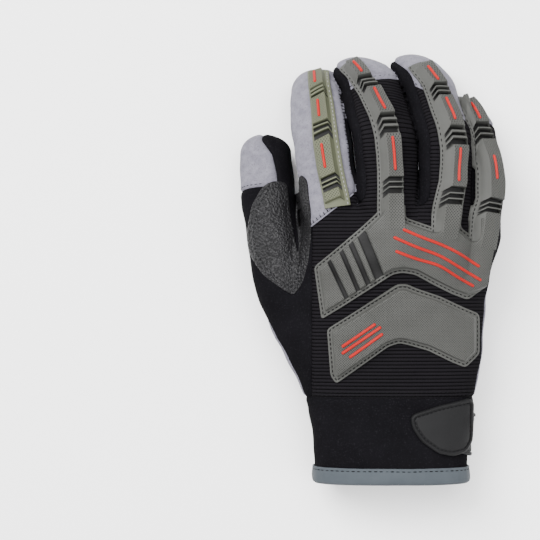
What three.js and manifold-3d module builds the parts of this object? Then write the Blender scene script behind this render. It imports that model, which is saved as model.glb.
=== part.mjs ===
// Impact glove for the right hand, lying palm down: a hollow shell of cloth and suede panels with moulded guards.
// Millimetres. +X towards the little finger, +Y towards the fingertips, +Z up from the surface it lies on.
import * as THREE from "three";
import { mergeVertices } from "three/addons/utils/BufferGeometryUtils.js";
import Module from "manifold-3d";

const wasm = await Module();
wasm.setup();

// Driving dimensions of the hand
const palmWidth = 102;
const palmLength = 108;
const knuckleHeight = 64;
const cuffWidth = 88;
const cuffDepth = 43;
const cuffLength = 47;
const indexLength = 117;
const middleLength = 130;
const ringLength = 137;
const littleLength = 114;
const thumbLength = 152;
const fingerWidth = 32;
const fingerDepth = 25;

// Thicknesses of what the glove is made of
const clothWall = 1.8;
const seamGap = 0.3;
const patchThickness = 1.5;
const tapeThickness = 1.2;
const tapeWidth = 8;
const flangeThickness = 1.7;
const guardHeight = 5.5;
const guardWidth = 15;
const indexGuardWidth = 11.5;
const strapThickness = 2.3;
const strapWidth = 25;
const tabHeight = 1.5;
const barWidth = 1.8;
const barHeight = 0.9;
const ventWidth = 4;
const ventLength = 32;
const ventTapeWidth = 4.5;

const degree = Math.PI / 180;

// Stations of the palm and cuff. along is a share of the cuff's or the palm's own length, left and right are
// shares of its width from the middle line, and centre, half and arch are shares of its depth or height.
const bodyStations = [
  { of: "cuff", along: 0, left: 0.47, right: 0.505, centre: 0.6, half: 0.49, arch: 0 },
  { of: "cuff", along: 0.45, left: 0.485, right: 0.505, centre: 0.605, half: 0.495, arch: 0 },
  { of: "cuff", along: 0.84, left: 0.51, right: 0.53, centre: 0.595, half: 0.485, arch: 0 },
  { of: "cuff", along: 1, left: 0.53, right: 0.545, centre: 0.63, half: 0.46, arch: 0 },
  { of: "palm", along: 0.12, left: 0.51, right: 0.495, centre: 0.49, half: 0.29, arch: 0.01 },
  { of: "palm", along: 0.3, left: 0.57, right: 0.52, centre: 0.55, half: 0.285, arch: 0.05 },
  { of: "palm", along: 0.48, left: 0.62, right: 0.53, centre: 0.62, half: 0.275, arch: 0.12 },
  { of: "palm", along: 0.62, left: 0.62, right: 0.535, centre: 0.68, half: 0.26, arch: 0.18 },
  { of: "palm", along: 0.72, left: 0.55, right: 0.535, centre: 0.73, half: 0.25, arch: 0.21 },
  { of: "palm", along: 0.82, left: 0.485, right: 0.54, centre: 0.765, half: 0.235, arch: 0.23 },
  { of: "palm", along: 0.92, left: 0.465, right: 0.53, centre: 0.775, half: 0.2, arch: 0.24 },
  { of: "palm", along: 0.98, left: 0.43, right: 0.49, centre: 0.77, half: 0.13, arch: 0.24 },
  { of: "palm", along: 1, left: 0.4, right: 0.46, centre: 0.765, half: 0.07, arch: 0.24 },
];

// Fingers. across and up place the root as shares of the palm's width and the knuckles' height, along as a share of
// the palm's length from the wrist. bones are shares of the finger's length, bends the turn at each joint in degrees,
// wide and deep the section at the root, the middle joint and the tip as shares of fingerWidth and fingerDepth.
// free is the share of the length where the finger leaves the hand.
const fingers = [
  {
    name: "index", length: indexLength, across: -0.275, along: 0.75, up: 0.72, yaw: 10, pitch: 2, roll: -8,
    bones: [0.504, 0.265, 0.231], bends: [6, 16, 22], wide: [1, 0.97, 0.875], deep: [1, 0.96, 0.88], free: 0.27,
  },
  {
    name: "middle", length: middleLength, across: 0, along: 0.77, up: 0.78, yaw: 0, pitch: -1, roll: 24,
    bones: [0.492, 0.277, 0.231], bends: [6, 24, 32], wide: [1.06, 1.03, 0.94], deep: [1, 0.96, 0.88], free: 0.22,
  },
  {
    name: "ring", length: ringLength, across: 0.275, along: 0.73, up: 0.715, yaw: -6, pitch: -4, roll: 34,
    bones: [0.474, 0.285, 0.241], bends: [8, 24, 24], wide: [0.95, 0.95, 0.9], deep: [0.96, 0.92, 0.84], free: 0.2,
  },
  {
    name: "little", length: littleLength, across: 0.458, along: 0.64, up: 0.56, yaw: -11, pitch: -1, roll: 46,
    bones: [0.491, 0.272, 0.237], bends: [8, 18, 24], wide: [0.86, 0.86, 0.8], deep: [0.88, 0.84, 0.8], free: 0.3,
  },
  {
    name: "thumb", length: thumbLength, across: -0.353, along: 0.1, up: 0.453, yaw: 36, pitch: -3, roll: -64,
    bones: [0.382, 0.329, 0.289], bends: [8, 16, 14], wide: [1, 0.94, 0.84], deep: [1.2, 1.16, 1], free: 0.49,
  },
];
const byName = Object.fromEntries(fingers.map((finger) => [finger.name, finger]));

// Colours and finishes
const suede = { color: 0xa9a6b4, roughness: 0.95 };
const ribbed = { color: 0x17151a, roughness: 0.9 };
const neoprene = { color: 0x19171d, roughness: 0.85 };
const pebbled = { color: 0x26262a, roughness: 0.65 };
const padding = { color: 0x3c3c40, roughness: 0.8 };
const tape = { color: 0x82909a, roughness: 0.7 };
const guardRubber = { color: 0x6c6e68, roughness: 0.7 };
const oliveRubber = { color: 0x7b7f68, roughness: 0.7 };
const strapRubber = { color: 0x3b3b3c, roughness: 0.6 };
const redRubber = { color: 0xdc4843, roughness: 0.55 };

// Meshes and solids

// A closed BufferGeometry as a solid that can be joined and cut.
function solidFrom(geometry) {
  const plain = geometry.clone();
  plain.deleteAttribute("normal");
  plain.deleteAttribute("uv");
  const merged = mergeVertices(plain, 1e-4);
  return new wasm.Manifold(
    new wasm.Mesh({
      numProp: 3,
      vertProperties: merged.attributes.position.array,
      triVerts: new Uint32Array(merged.index.array),
    }),
  );
}

// A skin through closed rings of as many points each. Each end is shut by a zigzag between the ring's first half and
// its second half, which suits long bent sections.
function loft(rings) {
  const count = rings[0].length;
  const positions = rings.flat().flatMap((point) => [point.x, point.y, point.z]);
  const faces = [];
  for (let ring = 0; ring < rings.length - 1; ring += 1) {
    for (let i = 0; i < count; i += 1) {
      const next = (i + 1) % count;
      const low = ring * count;
      const high = low + count;
      faces.push(low + i, low + next, high + next);
      faces.push(low + i, high + next, high + i);
    }
  }
  const last = (rings.length - 1) * count;
  for (let low = 0, high = count - 1; high - low > 1; low += 1, high -= 1) {
    faces.push(low, high, low + 1);
    faces.push(last + low, last + low + 1, last + high);
    if (high - low > 2) {
      faces.push(low + 1, high, high - 1);
      faces.push(last + low + 1, last + high - 1, last + high);
    }
  }
  const geometry = new THREE.BufferGeometry();
  geometry.setAttribute("position", new THREE.Float32BufferAttribute(positions, 3));
  geometry.setIndex(faces);
  const solid = solidFrom(geometry);
  if (solid.volume() > 0) {
    return solid;
  }
  const turned = [];
  for (let i = 0; i < faces.length; i += 3) {
    turned.push(faces[i], faces[i + 2], faces[i + 1]);
  }
  geometry.setIndex(turned);
  return solidFrom(geometry);
}

function joinAll(solids) {
  return solids.reduce((sum, solid) => sum.add(solid));
}

// A straight prism over an outline of {x, y} points, from one height to another.
function prism(outline, low, high) {
  const shape = new THREE.Shape(outline.map((point) => new THREE.Vector2(point.x, point.y)));
  const geometry = new THREE.ExtrudeGeometry(shape, { depth: high - low, bevelEnabled: false });
  geometry.translate(0, 0, low);
  return solidFrom(geometry);
}

function block(low, high) {
  const geometry = new THREE.BoxGeometry(high.x - low.x, high.y - low.y, high.z - low.z);
  geometry.translate((low.x + high.x) / 2, (low.y + high.y) / 2, (low.z + high.z) / 2);
  return solidFrom(geometry);
}

// An outline moved inwards by a distance, each corner along its mitre. Corners much closer together than the
// distance count as one, and a mitre is at most twice the distance long.
function inset(corners, distance) {
  const outline = corners.filter((point, i) => {
    const before = corners[(i + corners.length - 1) % corners.length];
    return Math.hypot(point.x - before.x, point.y - before.y) > 1.5 * distance;
  });
  const sharpest = 0.5;
  const count = outline.length;
  let area = 0;
  for (let i = 0; i < count; i += 1) {
    const next = outline[(i + 1) % count];
    area += outline[i].x * next.y - next.x * outline[i].y;
  }
  const side = Math.sign(area);
  return outline.map((point, i) => {
    const before = outline[(i + count - 1) % count];
    const after = outline[(i + 1) % count];
    const into = new THREE.Vector2(point.x - before.x, point.y - before.y).normalize();
    const out = new THREE.Vector2(after.x - point.x, after.y - point.y).normalize();
    const first = new THREE.Vector2(-into.y * side, into.x * side);
    const second = new THREE.Vector2(-out.y * side, out.x * side);
    const mitre = first.clone().add(second);
    const scale = distance / Math.max(sharpest, first.dot(mitre));
    return { x: point.x + mitre.x * scale, y: point.y + mitre.y * scale };
  });
}

// The palm and cuff

const ringPoints = 16;
const ringPower = 2.5;
const reach = palmWidth;

function stationOf(row) {
  const isCuff = row.of === "cuff";
  const width = isCuff ? cuffWidth : palmWidth;
  const height = isCuff ? cuffDepth : knuckleHeight;
  return {
    y: isCuff ? row.along * cuffLength : cuffLength + row.along * palmLength,
    left: -row.left * width,
    right: row.right * width,
    centre: row.centre * height,
    half: row.half * height,
    arch: row.arch * height,
  };
}

const stations = bodyStations.map(stationOf);

// The middle surface of the hand droops to both sides, by arch at half the palm's width.
function middleHeight(station, x) {
  return station.centre - station.arch * (x / (palmWidth / 2)) ** 2;
}

function power(value) {
  return Math.sign(value) * Math.abs(value) ** (2 / ringPower);
}

// The body's skin moved outwards by grow; the hem end is moved along Y by hem, the knuckle end by grow.
function bodySolid(grow, hem) {
  const thinnest = 0.6;
  const endShare = 0.9;
  const rings = stations.map((station, index) => {
    const mid = (station.left + station.right) / 2;
    const halfWidth = (station.right - station.left) / 2 + grow;
    const half = Math.max(thinnest, station.half + grow);
    const isFirst = index === 0;
    const nearEnd = station.y > cuffLength + endShare * palmLength;
    const y = isFirst ? station.y - hem : station.y + (nearEnd ? grow : 0);
    return Array.from({ length: ringPoints }, (unused, i) => {
      const angle = ((i + 0.5) / ringPoints) * 2 * Math.PI;
      const x = mid + halfWidth * power(Math.cos(angle));
      return new THREE.Vector3(x, y, middleHeight(station, x) + half * power(Math.sin(angle)));
    });
  });
  return loft(rings);
}

// Half of the space, above or below the seam between back and palm, less half a seam. The seam runs a little over
// the hand's middle surface, clear of the finger roots' lower walls.
function halfSpace(sign) {
  const columns = 7;
  const seamRise = 0.06 * knuckleHeight;
  const ends = [{ ...stations[0], y: -reach }, ...stations, { ...stations[stations.length - 1], y: 3 * reach }];
  const rings = ends.map((station) => {
    const across = Array.from({ length: columns }, (unused, i) => reach * ((2 * i) / (columns - 1) - 1));
    const far = across.map((x) => new THREE.Vector3(x, station.y, sign * 4 * reach));
    const seam = across.map((x) => {
      return new THREE.Vector3(x, station.y, middleHeight(station, x) + seamRise + (sign * seamGap) / 2);
    });
    return [...far, ...seam.reverse()];
  });
  return loft(rings);
}

// Fingers

const pathSteps = 240;

// A finger is slimmer at its root, inside the hand, and has its full section from slimShare of its length.
const slimRoot = 0.75;
const slimShare = 0.2;

function smooth(value) {
  const share = Math.min(1, Math.max(0, value));
  return share * share * (3 - 2 * share);
}

// A value read between the root, the middle joint and the tip.
function between(values, share) {
  const joint = 0.6;
  if (share < joint) {
    return values[0] + ((values[1] - values[0]) * share) / joint;
  }
  return values[1] + ((values[2] - values[1]) * (share - joint)) / (1 - joint);
}

// The finger's middle line: straight bones joined by soft bends, all in one plane that roll turns.
function middleLine(finger) {
  const forward = new THREE.Vector3(
    -Math.sin(finger.yaw * degree) * Math.cos(finger.pitch * degree),
    Math.cos(finger.yaw * degree) * Math.cos(finger.pitch * degree),
    -Math.sin(finger.pitch * degree),
  );
  const level = new THREE.Vector3().crossVectors(forward, new THREE.Vector3(0, 0, 1)).normalize();
  const upright = new THREE.Vector3().crossVectors(level, forward);
  const back = upright.clone().multiplyScalar(Math.cos(finger.roll * degree));
  back.addScaledVector(level, Math.sin(finger.roll * degree));
  const across = new THREE.Vector3().crossVectors(forward, back);
  const bendShare = 0.13;
  const bend = bendShare * finger.length;
  const first = finger.bones[0] * finger.length;
  const second = first + finger.bones[1] * finger.length;
  const turn = (s) =>
    degree * (finger.bends[0] * smooth(s / (0.5 * first))
      + finger.bends[1] * smooth((s - first) / bend + 0.5)
      + finger.bends[2] * smooth((s - second) / bend + 0.5));
  const root = new THREE.Vector3(
    finger.across * palmWidth,
    cuffLength + finger.along * palmLength,
    finger.up * knuckleHeight,
  );
  const step = finger.length / pathSteps;
  const points = [root];
  for (let i = 0; i < pathSteps; i += 1) {
    const angle = turn((i + 0.5) * step);
    const point = points[i].clone();
    point.addScaledVector(forward, Math.cos(angle) * step);
    point.addScaledVector(back, -Math.sin(angle) * step);
    points.push(point);
  }
  return (share) => {
    const s = share * finger.length;
    const place = Math.min(pathSteps - 1e-6, Math.max(0, s / step));
    const index = Math.floor(place);
    const angle = turn(s);
    const along = forward.clone().multiplyScalar(Math.cos(angle)).addScaledVector(back, -Math.sin(angle));
    const up = forward.clone().multiplyScalar(Math.sin(angle)).addScaledVector(back, Math.cos(angle));
    const point = points[index].clone().lerp(points[index + 1], place - index);
    const slimming = slimRoot + (1 - slimRoot) * Math.min(1, share / slimShare);
    return {
      point, along, up, across,
      wide: (slimming * between(finger.wide, share) * fingerWidth) / 2,
      deep: (slimming * between(finger.deep, share) * fingerDepth) / 2,
    };
  };
}

for (const finger of fingers) {
  finger.at = middleLine(finger);
}

const fingerSides = 10;
const fingerShares = [0, 0.2, 0.38, 0.47, 0.56, 0.66, 0.75, 0.84];
const leastStep = 0.02;

// The dome over a fingertip: its length as a share of half the tip's width, and its rows as shares of that length.
const domeLength = 0.95;
const domeRows = [0.55, 0.87, 0.995];

// A finger's section: corner 0 lies half a step from the back line, towards across, and the others follow round.
function fingerRing(frame, wide, deep) {
  return Array.from({ length: fingerSides }, (unused, i) => {
    const angle = ((i + 0.5) / fingerSides) * 2 * Math.PI;
    const point = frame.point.clone();
    point.addScaledVector(frame.across, wide * Math.sin(angle));
    return point.addScaledVector(frame.up, deep * Math.cos(angle));
  });
}

// The rings of a finger's skin moved outwards by grow, between two shares of its length. Past the last full ring
// they close in a dome over the tip.
function fingerRings(finger, grow, from, to) {
  const domeStart = 1 - (domeLength * finger.at(1).wide) / finger.length;
  const shares = fingerShares.filter((share) => {
    return share > from + leastStep && share < Math.min(to, domeStart) - leastStep;
  });
  shares.unshift(from);
  shares.push(Math.min(to, domeStart));
  const rings = shares.map((share) => {
    const frame = finger.at(share);
    return fingerRing(frame, frame.wide + grow, frame.deep + grow);
  });
  if (to >= 1) {
    for (const row of domeRows) {
      const frame = finger.at(domeStart + row * (1 - domeStart));
      const shrink = Math.sqrt(1 - row * row);
      frame.point.addScaledVector(frame.along, grow * row);
      rings.push(fingerRing(frame, (frame.wide + grow) * shrink, (frame.deep + grow) * shrink));
    }
  }
  return rings;
}

function fingerSolid(finger, grow, from, to) {
  return loft(fingerRings(finger, grow, from, to));
}

// One panel of a finger's wall, from one corner of its section round to another, half a seam short on each edge.
function fingerPanel(finger, fromCorner, toCorner, from, to) {
  const endShare = seamGap / 2 / finger.length;
  const stop = to > 1 ? 1 : to - endShare;
  const outer = fingerRings(finger, 0, from + endShare, stop);
  const inner = fingerRings(finger, -clothWall, from + endShare, stop);
  const arc = (ring) => {
    const points = [];
    for (let corner = fromCorner; corner <= toCorner; corner += 1) {
      points.push(ring[corner % fingerSides].clone());
    }
    const last = points.length - 1;
    const first = points[1].clone().sub(points[0]).normalize();
    const final = points[last - 1].clone().sub(points[last]).normalize();
    points[0].addScaledVector(first, seamGap / 2);
    points[last].addScaledVector(final, seamGap / 2);
    return points;
  };
  return loft(outer.map((ring, i) => [...arc(ring), ...arc(inner[i]).reverse()]));
}

// The whole glove's skin moved outwards by grow, with its hem end moved by hem.
function skin(grow, hem) {
  return joinAll([bodySolid(grow, hem), ...fingers.map((finger) => fingerSolid(finger, grow, 0, 1))]);
}

const upperHalf = halfSpace(1);
const lowerHalf = halfSpace(-1);
const clearSkin = skin(seamGap, seamGap);
const hollowStart = 0.1;
const hollow = joinAll([
  bodySolid(-clothWall, reach),
  ...fingers.map((finger) => fingerSolid(finger, -clothWall, hollowStart, 1)),
]);

const glove = new THREE.Group();
const pieces = new THREE.Group();
glove.add(pieces);

// A solid's mesh, with corners closer together than the weld made one and the faces that this closes left out.
function weldedGeometry(solid) {
  const weld = 0.004;
  const made = solid.getMesh();
  const rough = new THREE.BufferGeometry();
  rough.setAttribute("position", new THREE.Float32BufferAttribute(made.vertProperties, 3));
  rough.setIndex(Array.from(made.triVerts));
  const geometry = mergeVertices(rough, weld);
  const corners = Array.from(geometry.index.array);
  const kept = [];
  for (let i = 0; i < corners.length; i += 3) {
    const [first, second, third] = corners.slice(i, i + 3);
    if (first !== second && second !== third && third !== first) {
      kept.push(first, second, third);
    }
  }
  geometry.setIndex(kept);
  geometry.computeVertexNormals();
  return geometry;
}

function addPiece(name, solid, finish) {
  const geometry = weldedGeometry(solid);
  const mesh = new THREE.Mesh(geometry, new THREE.MeshStandardMaterial({ ...finish, metalness: 0 }));
  mesh.name = name;
  pieces.add(mesh);
}

// Space on one side of a level line across the glove.
function spaceBetween(low, high) {
  const far = 4 * reach;
  return block(new THREE.Vector3(-far, low, -far), new THREE.Vector3(far, high, far));
}

const beforeWrist = spaceBetween(-reach, cuffLength - seamGap / 2);
const afterWrist = spaceBetween(cuffLength + seamGap / 2, 4 * reach);

// Cuff, its vent slit and the tape round its edges

const ventAcross = 0.36 * cuffWidth;

function strip(x, width, low, high) {
  return [
    { x: x - width / 2, y: low },
    { x: x + width / 2, y: low },
    { x: x + width / 2, y: high },
    { x: x - width / 2, y: high },
  ];
}

const cuffMiddle = 0.6 * cuffDepth;
const ventCut = prism(strip(ventAcross, ventWidth, -cuffLength, ventLength), -reach, cuffMiddle);
const bodyShell = bodySolid(0, 0).subtract(hollow);
addPiece("cuff", bodyShell.intersect(beforeWrist).subtract(ventCut), neoprene);

const tapeOut = bodySolid(seamGap + tapeThickness, seamGap + tapeThickness);
const hemTape = tapeOut
  .intersect(spaceBetween(-reach, tapeWidth))
  .subtract(bodySolid(seamGap, seamGap))
  .subtract(hollow)
  .subtract(ventCut);
addPiece("hem_binding", hemTape, tape);

const ventTapeOutline = strip(
  ventAcross,
  ventWidth + 2 * ventTapeWidth,
  tapeWidth + seamGap,
  ventLength + ventTapeWidth,
);
const ventTape = tapeOut
  .subtract(bodySolid(seamGap, seamGap))
  .intersect(prism(ventTapeOutline, -reach, cuffMiddle))
  .subtract(ventCut);
addPiece("vent_binding", ventTape, tape);

// Back, side and palm panels of the hand, with the roots of the fingers

const roots = fingers.map((finger) =>
  fingerSolid(finger, 0, 0, finger.free - seamGap / 2 / finger.length));
const handShell = joinAll([bodySolid(0, 0), ...roots]).subtract(hollow).intersect(afterWrist);
const backSeam = -0.43 * palmWidth;
const rightOfSeam = block(
  new THREE.Vector3(backSeam + seamGap / 2, -reach, -4 * reach),
  new THREE.Vector3(4 * reach, 4 * reach, 4 * reach),
);
const leftOfSeam = block(
  new THREE.Vector3(-4 * reach, -reach, -4 * reach),
  new THREE.Vector3(backSeam - seamGap / 2, 4 * reach, 4 * reach),
);
addPiece("back_panel", handShell.intersect(upperHalf).intersect(rightOfSeam), ribbed);
addPiece("side_gusset", handShell.intersect(upperHalf).intersect(leftOfSeam), neoprene);
addPiece("palm_panel", handShell.intersect(lowerHalf), suede);

// Finger panels, each between two corners of the finger's section and two shares of its length.
const fingerPanels = [
  { finger: "index", name: "index_back", corners: [7, 11], start: 0, end: 2, finish: suede },
  { finger: "index", name: "index_side", corners: [1, 3], start: 0, end: 2, finish: neoprene },
  { finger: "index", name: "index_front", corners: [3, 7], start: 0, end: 0.75, finish: suede },
  { finger: "index", name: "index_tip", corners: [3, 7], start: 0.75, end: 2, finish: padding },
  { finger: "middle", name: "middle_back", corners: [8, 11], start: 0, end: 0.75, finish: ribbed },
  { finger: "middle", name: "middle_cap", corners: [8, 11], start: 0.75, end: 2, finish: suede },
  { finger: "middle", name: "middle_side_left", corners: [6, 8], start: 0, end: 2, finish: neoprene },
  { finger: "middle", name: "middle_side_right", corners: [1, 3], start: 0, end: 2, finish: neoprene },
  { finger: "middle", name: "middle_front", corners: [3, 6], start: 0, end: 0.75, finish: suede },
  { finger: "middle", name: "middle_tip", corners: [3, 6], start: 0.75, end: 2, finish: padding },
  { finger: "ring", name: "ring_back", corners: [8, 11], start: 0, end: 0.75, finish: ribbed },
  { finger: "ring", name: "ring_cap", corners: [8, 11], start: 0.75, end: 2, finish: suede },
  { finger: "ring", name: "ring_side_left", corners: [6, 8], start: 0, end: 2, finish: neoprene },
  { finger: "ring", name: "ring_side_right", corners: [1, 3], start: 0, end: 2, finish: neoprene },
  { finger: "ring", name: "ring_front", corners: [3, 6], start: 0, end: 0.75, finish: suede },
  { finger: "ring", name: "ring_tip", corners: [3, 6], start: 0.75, end: 2, finish: padding },
  { finger: "little", name: "little_back", corners: [8, 12], start: 0, end: 0.75, finish: ribbed },
  { finger: "little", name: "little_cap", corners: [8, 12], start: 0.75, end: 2, finish: suede },
  { finger: "little", name: "little_side", corners: [6, 8], start: 0, end: 2, finish: neoprene },
  { finger: "little", name: "little_front", corners: [2, 6], start: 0, end: 0.75, finish: suede },
  { finger: "little", name: "little_tip", corners: [2, 6], start: 0.75, end: 2, finish: padding },
  { finger: "thumb", name: "thumb_back", corners: [7, 12], start: 0, end: 0.75, finish: neoprene },
  { finger: "thumb", name: "thumb_cap", corners: [7, 12], start: 0.75, end: 2, finish: suede },
  { finger: "thumb", name: "thumb_front", corners: [2, 7], start: 0, end: 0.75, finish: suede },
  { finger: "thumb", name: "thumb_tip", corners: [2, 7], start: 0.75, end: 2, finish: padding },
];

// A finger gives way to the body and to the finger named here.
const yieldsTo = { index: [], middle: ["index"], ring: ["middle"], little: ["ring"], thumb: [] };
const clearBody = bodySolid(seamGap, seamGap);
for (const finger of fingers) {
  const neighbours = yieldsTo[finger.name].map((name) => fingerSolid(byName[name], seamGap, 0, 1));
  const taken = joinAll([clearBody, ...neighbours]);
  for (const panel of fingerPanels.filter((row) => row.finger === finger.name)) {
    const start = Math.max(panel.start, finger.free);
    const wall = fingerPanel(finger, panel.corners[0], panel.corners[1], start, panel.end);
    addPiece(panel.name, wall.intersect(taken).volume() > 0 ? wall.subtract(taken) : wall, panel.finish);
  }
}

// Plates on the skin. Outlines hold shares: across of the palm's width, along of the palm's length from the wrist.

function onHand(rows) {
  return rows.map(([across, along]) => ({ x: across * palmWidth, y: cuffLength + along * palmLength }));
}

const skins = new Map();

function grownSkin(grow) {
  if (!skins.has(grow)) {
    skins.set(grow, skin(grow, grow));
  }
  return skins.get(grow);
}

const patchSkin = seamGap + patchThickness;
const flangeSkin = seamGap + flangeThickness;
const guardSkin = seamGap + guardHeight;
const barFoot = guardSkin + seamGap;

function layerOver(outline, grow, low, high) {
  return grownSkin(grow).intersect(prism(outline, low, high));
}

// The outline of a band of one width along a line of two or more points, wider by spare all round.
function ribbon(points, width, spare) {
  const left = [];
  const right = [];
  const last = points.length - 1;
  points.forEach((point, i) => {
    const before = points[Math.max(0, i - 1)];
    const after = points[Math.min(last, i + 1)];
    const along = new THREE.Vector2(after.x - before.x, after.y - before.y).normalize();
    const side = new THREE.Vector2(-along.y, along.x).multiplyScalar(width / 2 + spare);
    const end = (i === last ? spare : 0) - (i === 0 ? spare : 0);
    const middle = new THREE.Vector2(point.x, point.y).addScaledVector(along, end);
    left.push({ x: middle.x + side.x, y: middle.y + side.y });
    right.unshift({ x: middle.x - side.x, y: middle.y - side.y });
  });
  return [...left, ...right];
}

// Guard strips on the fingers. from and to are shares of the finger's length, shift is the strip's middle from the
// finger's back line as a share of the guard's width.
const guardStrips = {
  index: {
    width: indexGuardWidth, height: 0.8 * guardHeight, from: 0.2, to: 0.885, shift: [0.24, 0.17, 0.19, 0.17],
    blocks: [[0.215, 0.3], [0.345, 0.525], [0.575, 0.73], [0.765, 0.865]],
    ribs: [0.313, 0.333, 0.54, 0.56, 0.748],
    bars: [[0.375, 0.485], [0.6, 0.7], [0.79, 0.845]],
  },
  middle: {
    width: guardWidth, height: guardHeight, from: 0.08, to: 0.855, shift: [-0.33, -0.26, -0.34, -0.55],
    blocks: [[0.09, 0.215], [0.3, 0.475], [0.53, 0.675], [0.725, 0.835]],
    ribs: [0.24, 0.27, 0.492, 0.513, 0.7],
    bars: [[0.325, 0.445], [0.56, 0.65], [0.745, 0.81]],
  },
  ring: {
    width: guardWidth, height: guardHeight, from: 0.08, to: 0.8, shift: [-0.46, -0.22, -0.27, -0.42],
    blocks: [[0.09, 0.2], [0.265, 0.455], [0.495, 0.625], [0.675, 0.77]],
    ribs: [0.22, 0.242, 0.475, 0.638, 0.66],
    bars: [[0.295, 0.42], [0.525, 0.6], [0.695, 0.75]],
  },
  little: {
    width: guardWidth * 0.95, height: guardHeight, from: 0.13, to: 0.865, shift: [-0.4, -0.33, -0.42, -0.55],
    blocks: [[0.13, 0.29], [0.345, 0.66], [0.715, 0.84]],
    ribs: [0.308, 0.328, 0.677, 0.698],
    bars: [[0.46, 0.57], [0.75, 0.81]],
  },
};

// A block's top leans by this share of the slope it sits on.
const blockLean = 0.6;

// The surface of the finger at a share of its length and a distance to the side of its back line.
function seatAt(finger, share, side) {
  const frame = finger.at(share);
  const steepest = 0.9;
  const ratio = Math.min(steepest, Math.abs(side) / frame.wide) * Math.sign(side);
  const rise = Math.sqrt(1 - ratio * ratio);
  return { frame, height: frame.deep * rise, slope: (-frame.deep * ratio) / (rise * frame.wide) };
}

// The strip's middle, as a distance to the side of the back line.
function stripSide(strips, share) {
  const spans = strips.shift.length - 1;
  const place = Math.min(1, Math.max(0, (share - strips.from) / (strips.to - strips.from))) * spans;
  const index = Math.min(spans - 1, Math.floor(place));
  const [low, high] = [strips.shift[index], strips.shift[index + 1]];
  return (low + (high - low) * (place - index)) * strips.width;
}

// A guard strip is one skin through rings of eight points: the flange's two edges, and a crown between them that
// stands up as blocks and ribs. Each row gives a share of the finger's length and the crown's height over the skin.
function guardStrip(finger, strips) {
  const buried = 3;
  const chamfer = 0.8 / finger.length;
  const ribHalf = 0.9 / finger.length;
  const ribShare = 0.85;
  const footShare = 0.82;
  const crownShare = 0.68;
  const low = flangeThickness + seamGap;
  const rows = [{ share: strips.from, height: low }, { share: strips.to, height: low }];
  for (const [from, to] of strips.blocks) {
    rows.push({ share: from, height: low }, { share: from + chamfer, height: strips.height });
    rows.push({ share: (from + to) / 2, height: strips.height });
    rows.push({ share: to - chamfer, height: strips.height }, { share: to, height: low });
  }
  for (const share of strips.ribs) {
    rows.push({ share: share - ribHalf, height: low }, { share, height: ribShare * strips.height });
    rows.push({ share: share + ribHalf, height: low });
  }
  rows.sort((first, second) => first.share - second.share);
  const rings = rows.map((row) => {
    const side = stripSide(strips, row.share);
    const seat = seatAt(finger, row.share, side);
    const place = (x, y) => {
      const point = seat.frame.point.clone();
      return point.addScaledVector(seat.frame.across, x).addScaledVector(seat.frame.up, y);
    };
    const edge = strips.width / 2;
    const foot = edge * footShare;
    const crown = edge * crownShare;
    const raised = row.height > low;
    const lean = seat.slope * blockLean;
    const at = (offset) => seatAt(finger, row.share, side + offset).height;
    const top = (offset) => (raised ? seat.height + lean * offset : at(offset)) + row.height;
    return [
      place(side - edge, at(-edge) - buried),
      place(side - edge, at(-edge) + low),
      place(side - foot, at(-foot) + low),
      place(side - crown, top(-crown)),
      place(side + crown, top(crown)),
      place(side + foot, at(foot) + low),
      place(side + edge, at(edge) + low),
      place(side + edge, at(edge) - buried),
    ];
  });
  return loft(rings);
}

// A bar lying on the top of a block.
function fingerBar(finger, strips, from, to) {
  const rings = [from, (from + to) / 2, to].map((share) => {
    const side = stripSide(strips, share);
    const seat = seatAt(finger, share, side);
    const half = barWidth / 2;
    const foot = seat.height + strips.height + seamGap;
    return [[-half, 0], [half, 0], [half, barHeight], [-half, barHeight]].map(([x, y]) => {
      const point = seat.frame.point.clone();
      point.addScaledVector(seat.frame.across, side + x);
      return point.addScaledVector(seat.frame.up, foot + seat.slope * blockLean * x + y);
    });
  });
  return loft(rings);
}

// Knuckle guard: a stitched flange, a raised top and four grooves, moulded in one with three finger strips.
const guardLow = 0.5 * knuckleHeight;
const guardTop = 2 * knuckleHeight;
const knuckleOutline = onHand([
  [-0.42, 0.68], [-0.28, 0.79], [-0.17, 0.88], [-0.09, 0.95], [-0.05, 1], [0.07, 1], [0.07, 0.93], [0.24, 0.875],
  [0.25, 0.98], [0.37, 0.98], [0.375, 0.88], [0.455, 0.83], [0.46, 0.96], [0.59, 0.96], [0.575, 0.82],
  [0.55, 0.71], [0.53, 0.58], [0.42, 0.51], [0.33, 0.54], [0.22, 0.59], [0.12, 0.64], [0.05, 0.65], [0, 0.64],
  [-0.13, 0.56], [-0.26, 0.48], [-0.38, 0.41],
]);
const knuckleGrooves = [
  { points: [[-0.35, 0.73], [-0.235, 0.5]], width: 3 },
  { points: [[-0.28, 0.77], [-0.175, 0.54]], width: 3 },
  { points: [[-0.225, 0.8], [-0.12, 0.57]], width: 3 },
  { points: [[-0.165, 0.84], [-0.06, 0.6]], width: 5 },
];
const knuckleBars = [
  [[0.05, 0.87], [0.15, 0.83], [0.27, 0.79], [0.38, 0.74], [0.48, 0.68]],
  [[0, 0.83], [0.12, 0.78], [0.25, 0.74], [0.36, 0.68], [0.49, 0.61]],
  [[0.01, 0.76], [0.12, 0.72], [0.25, 0.69], [0.35, 0.63], [0.45, 0.58]],
];

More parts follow.
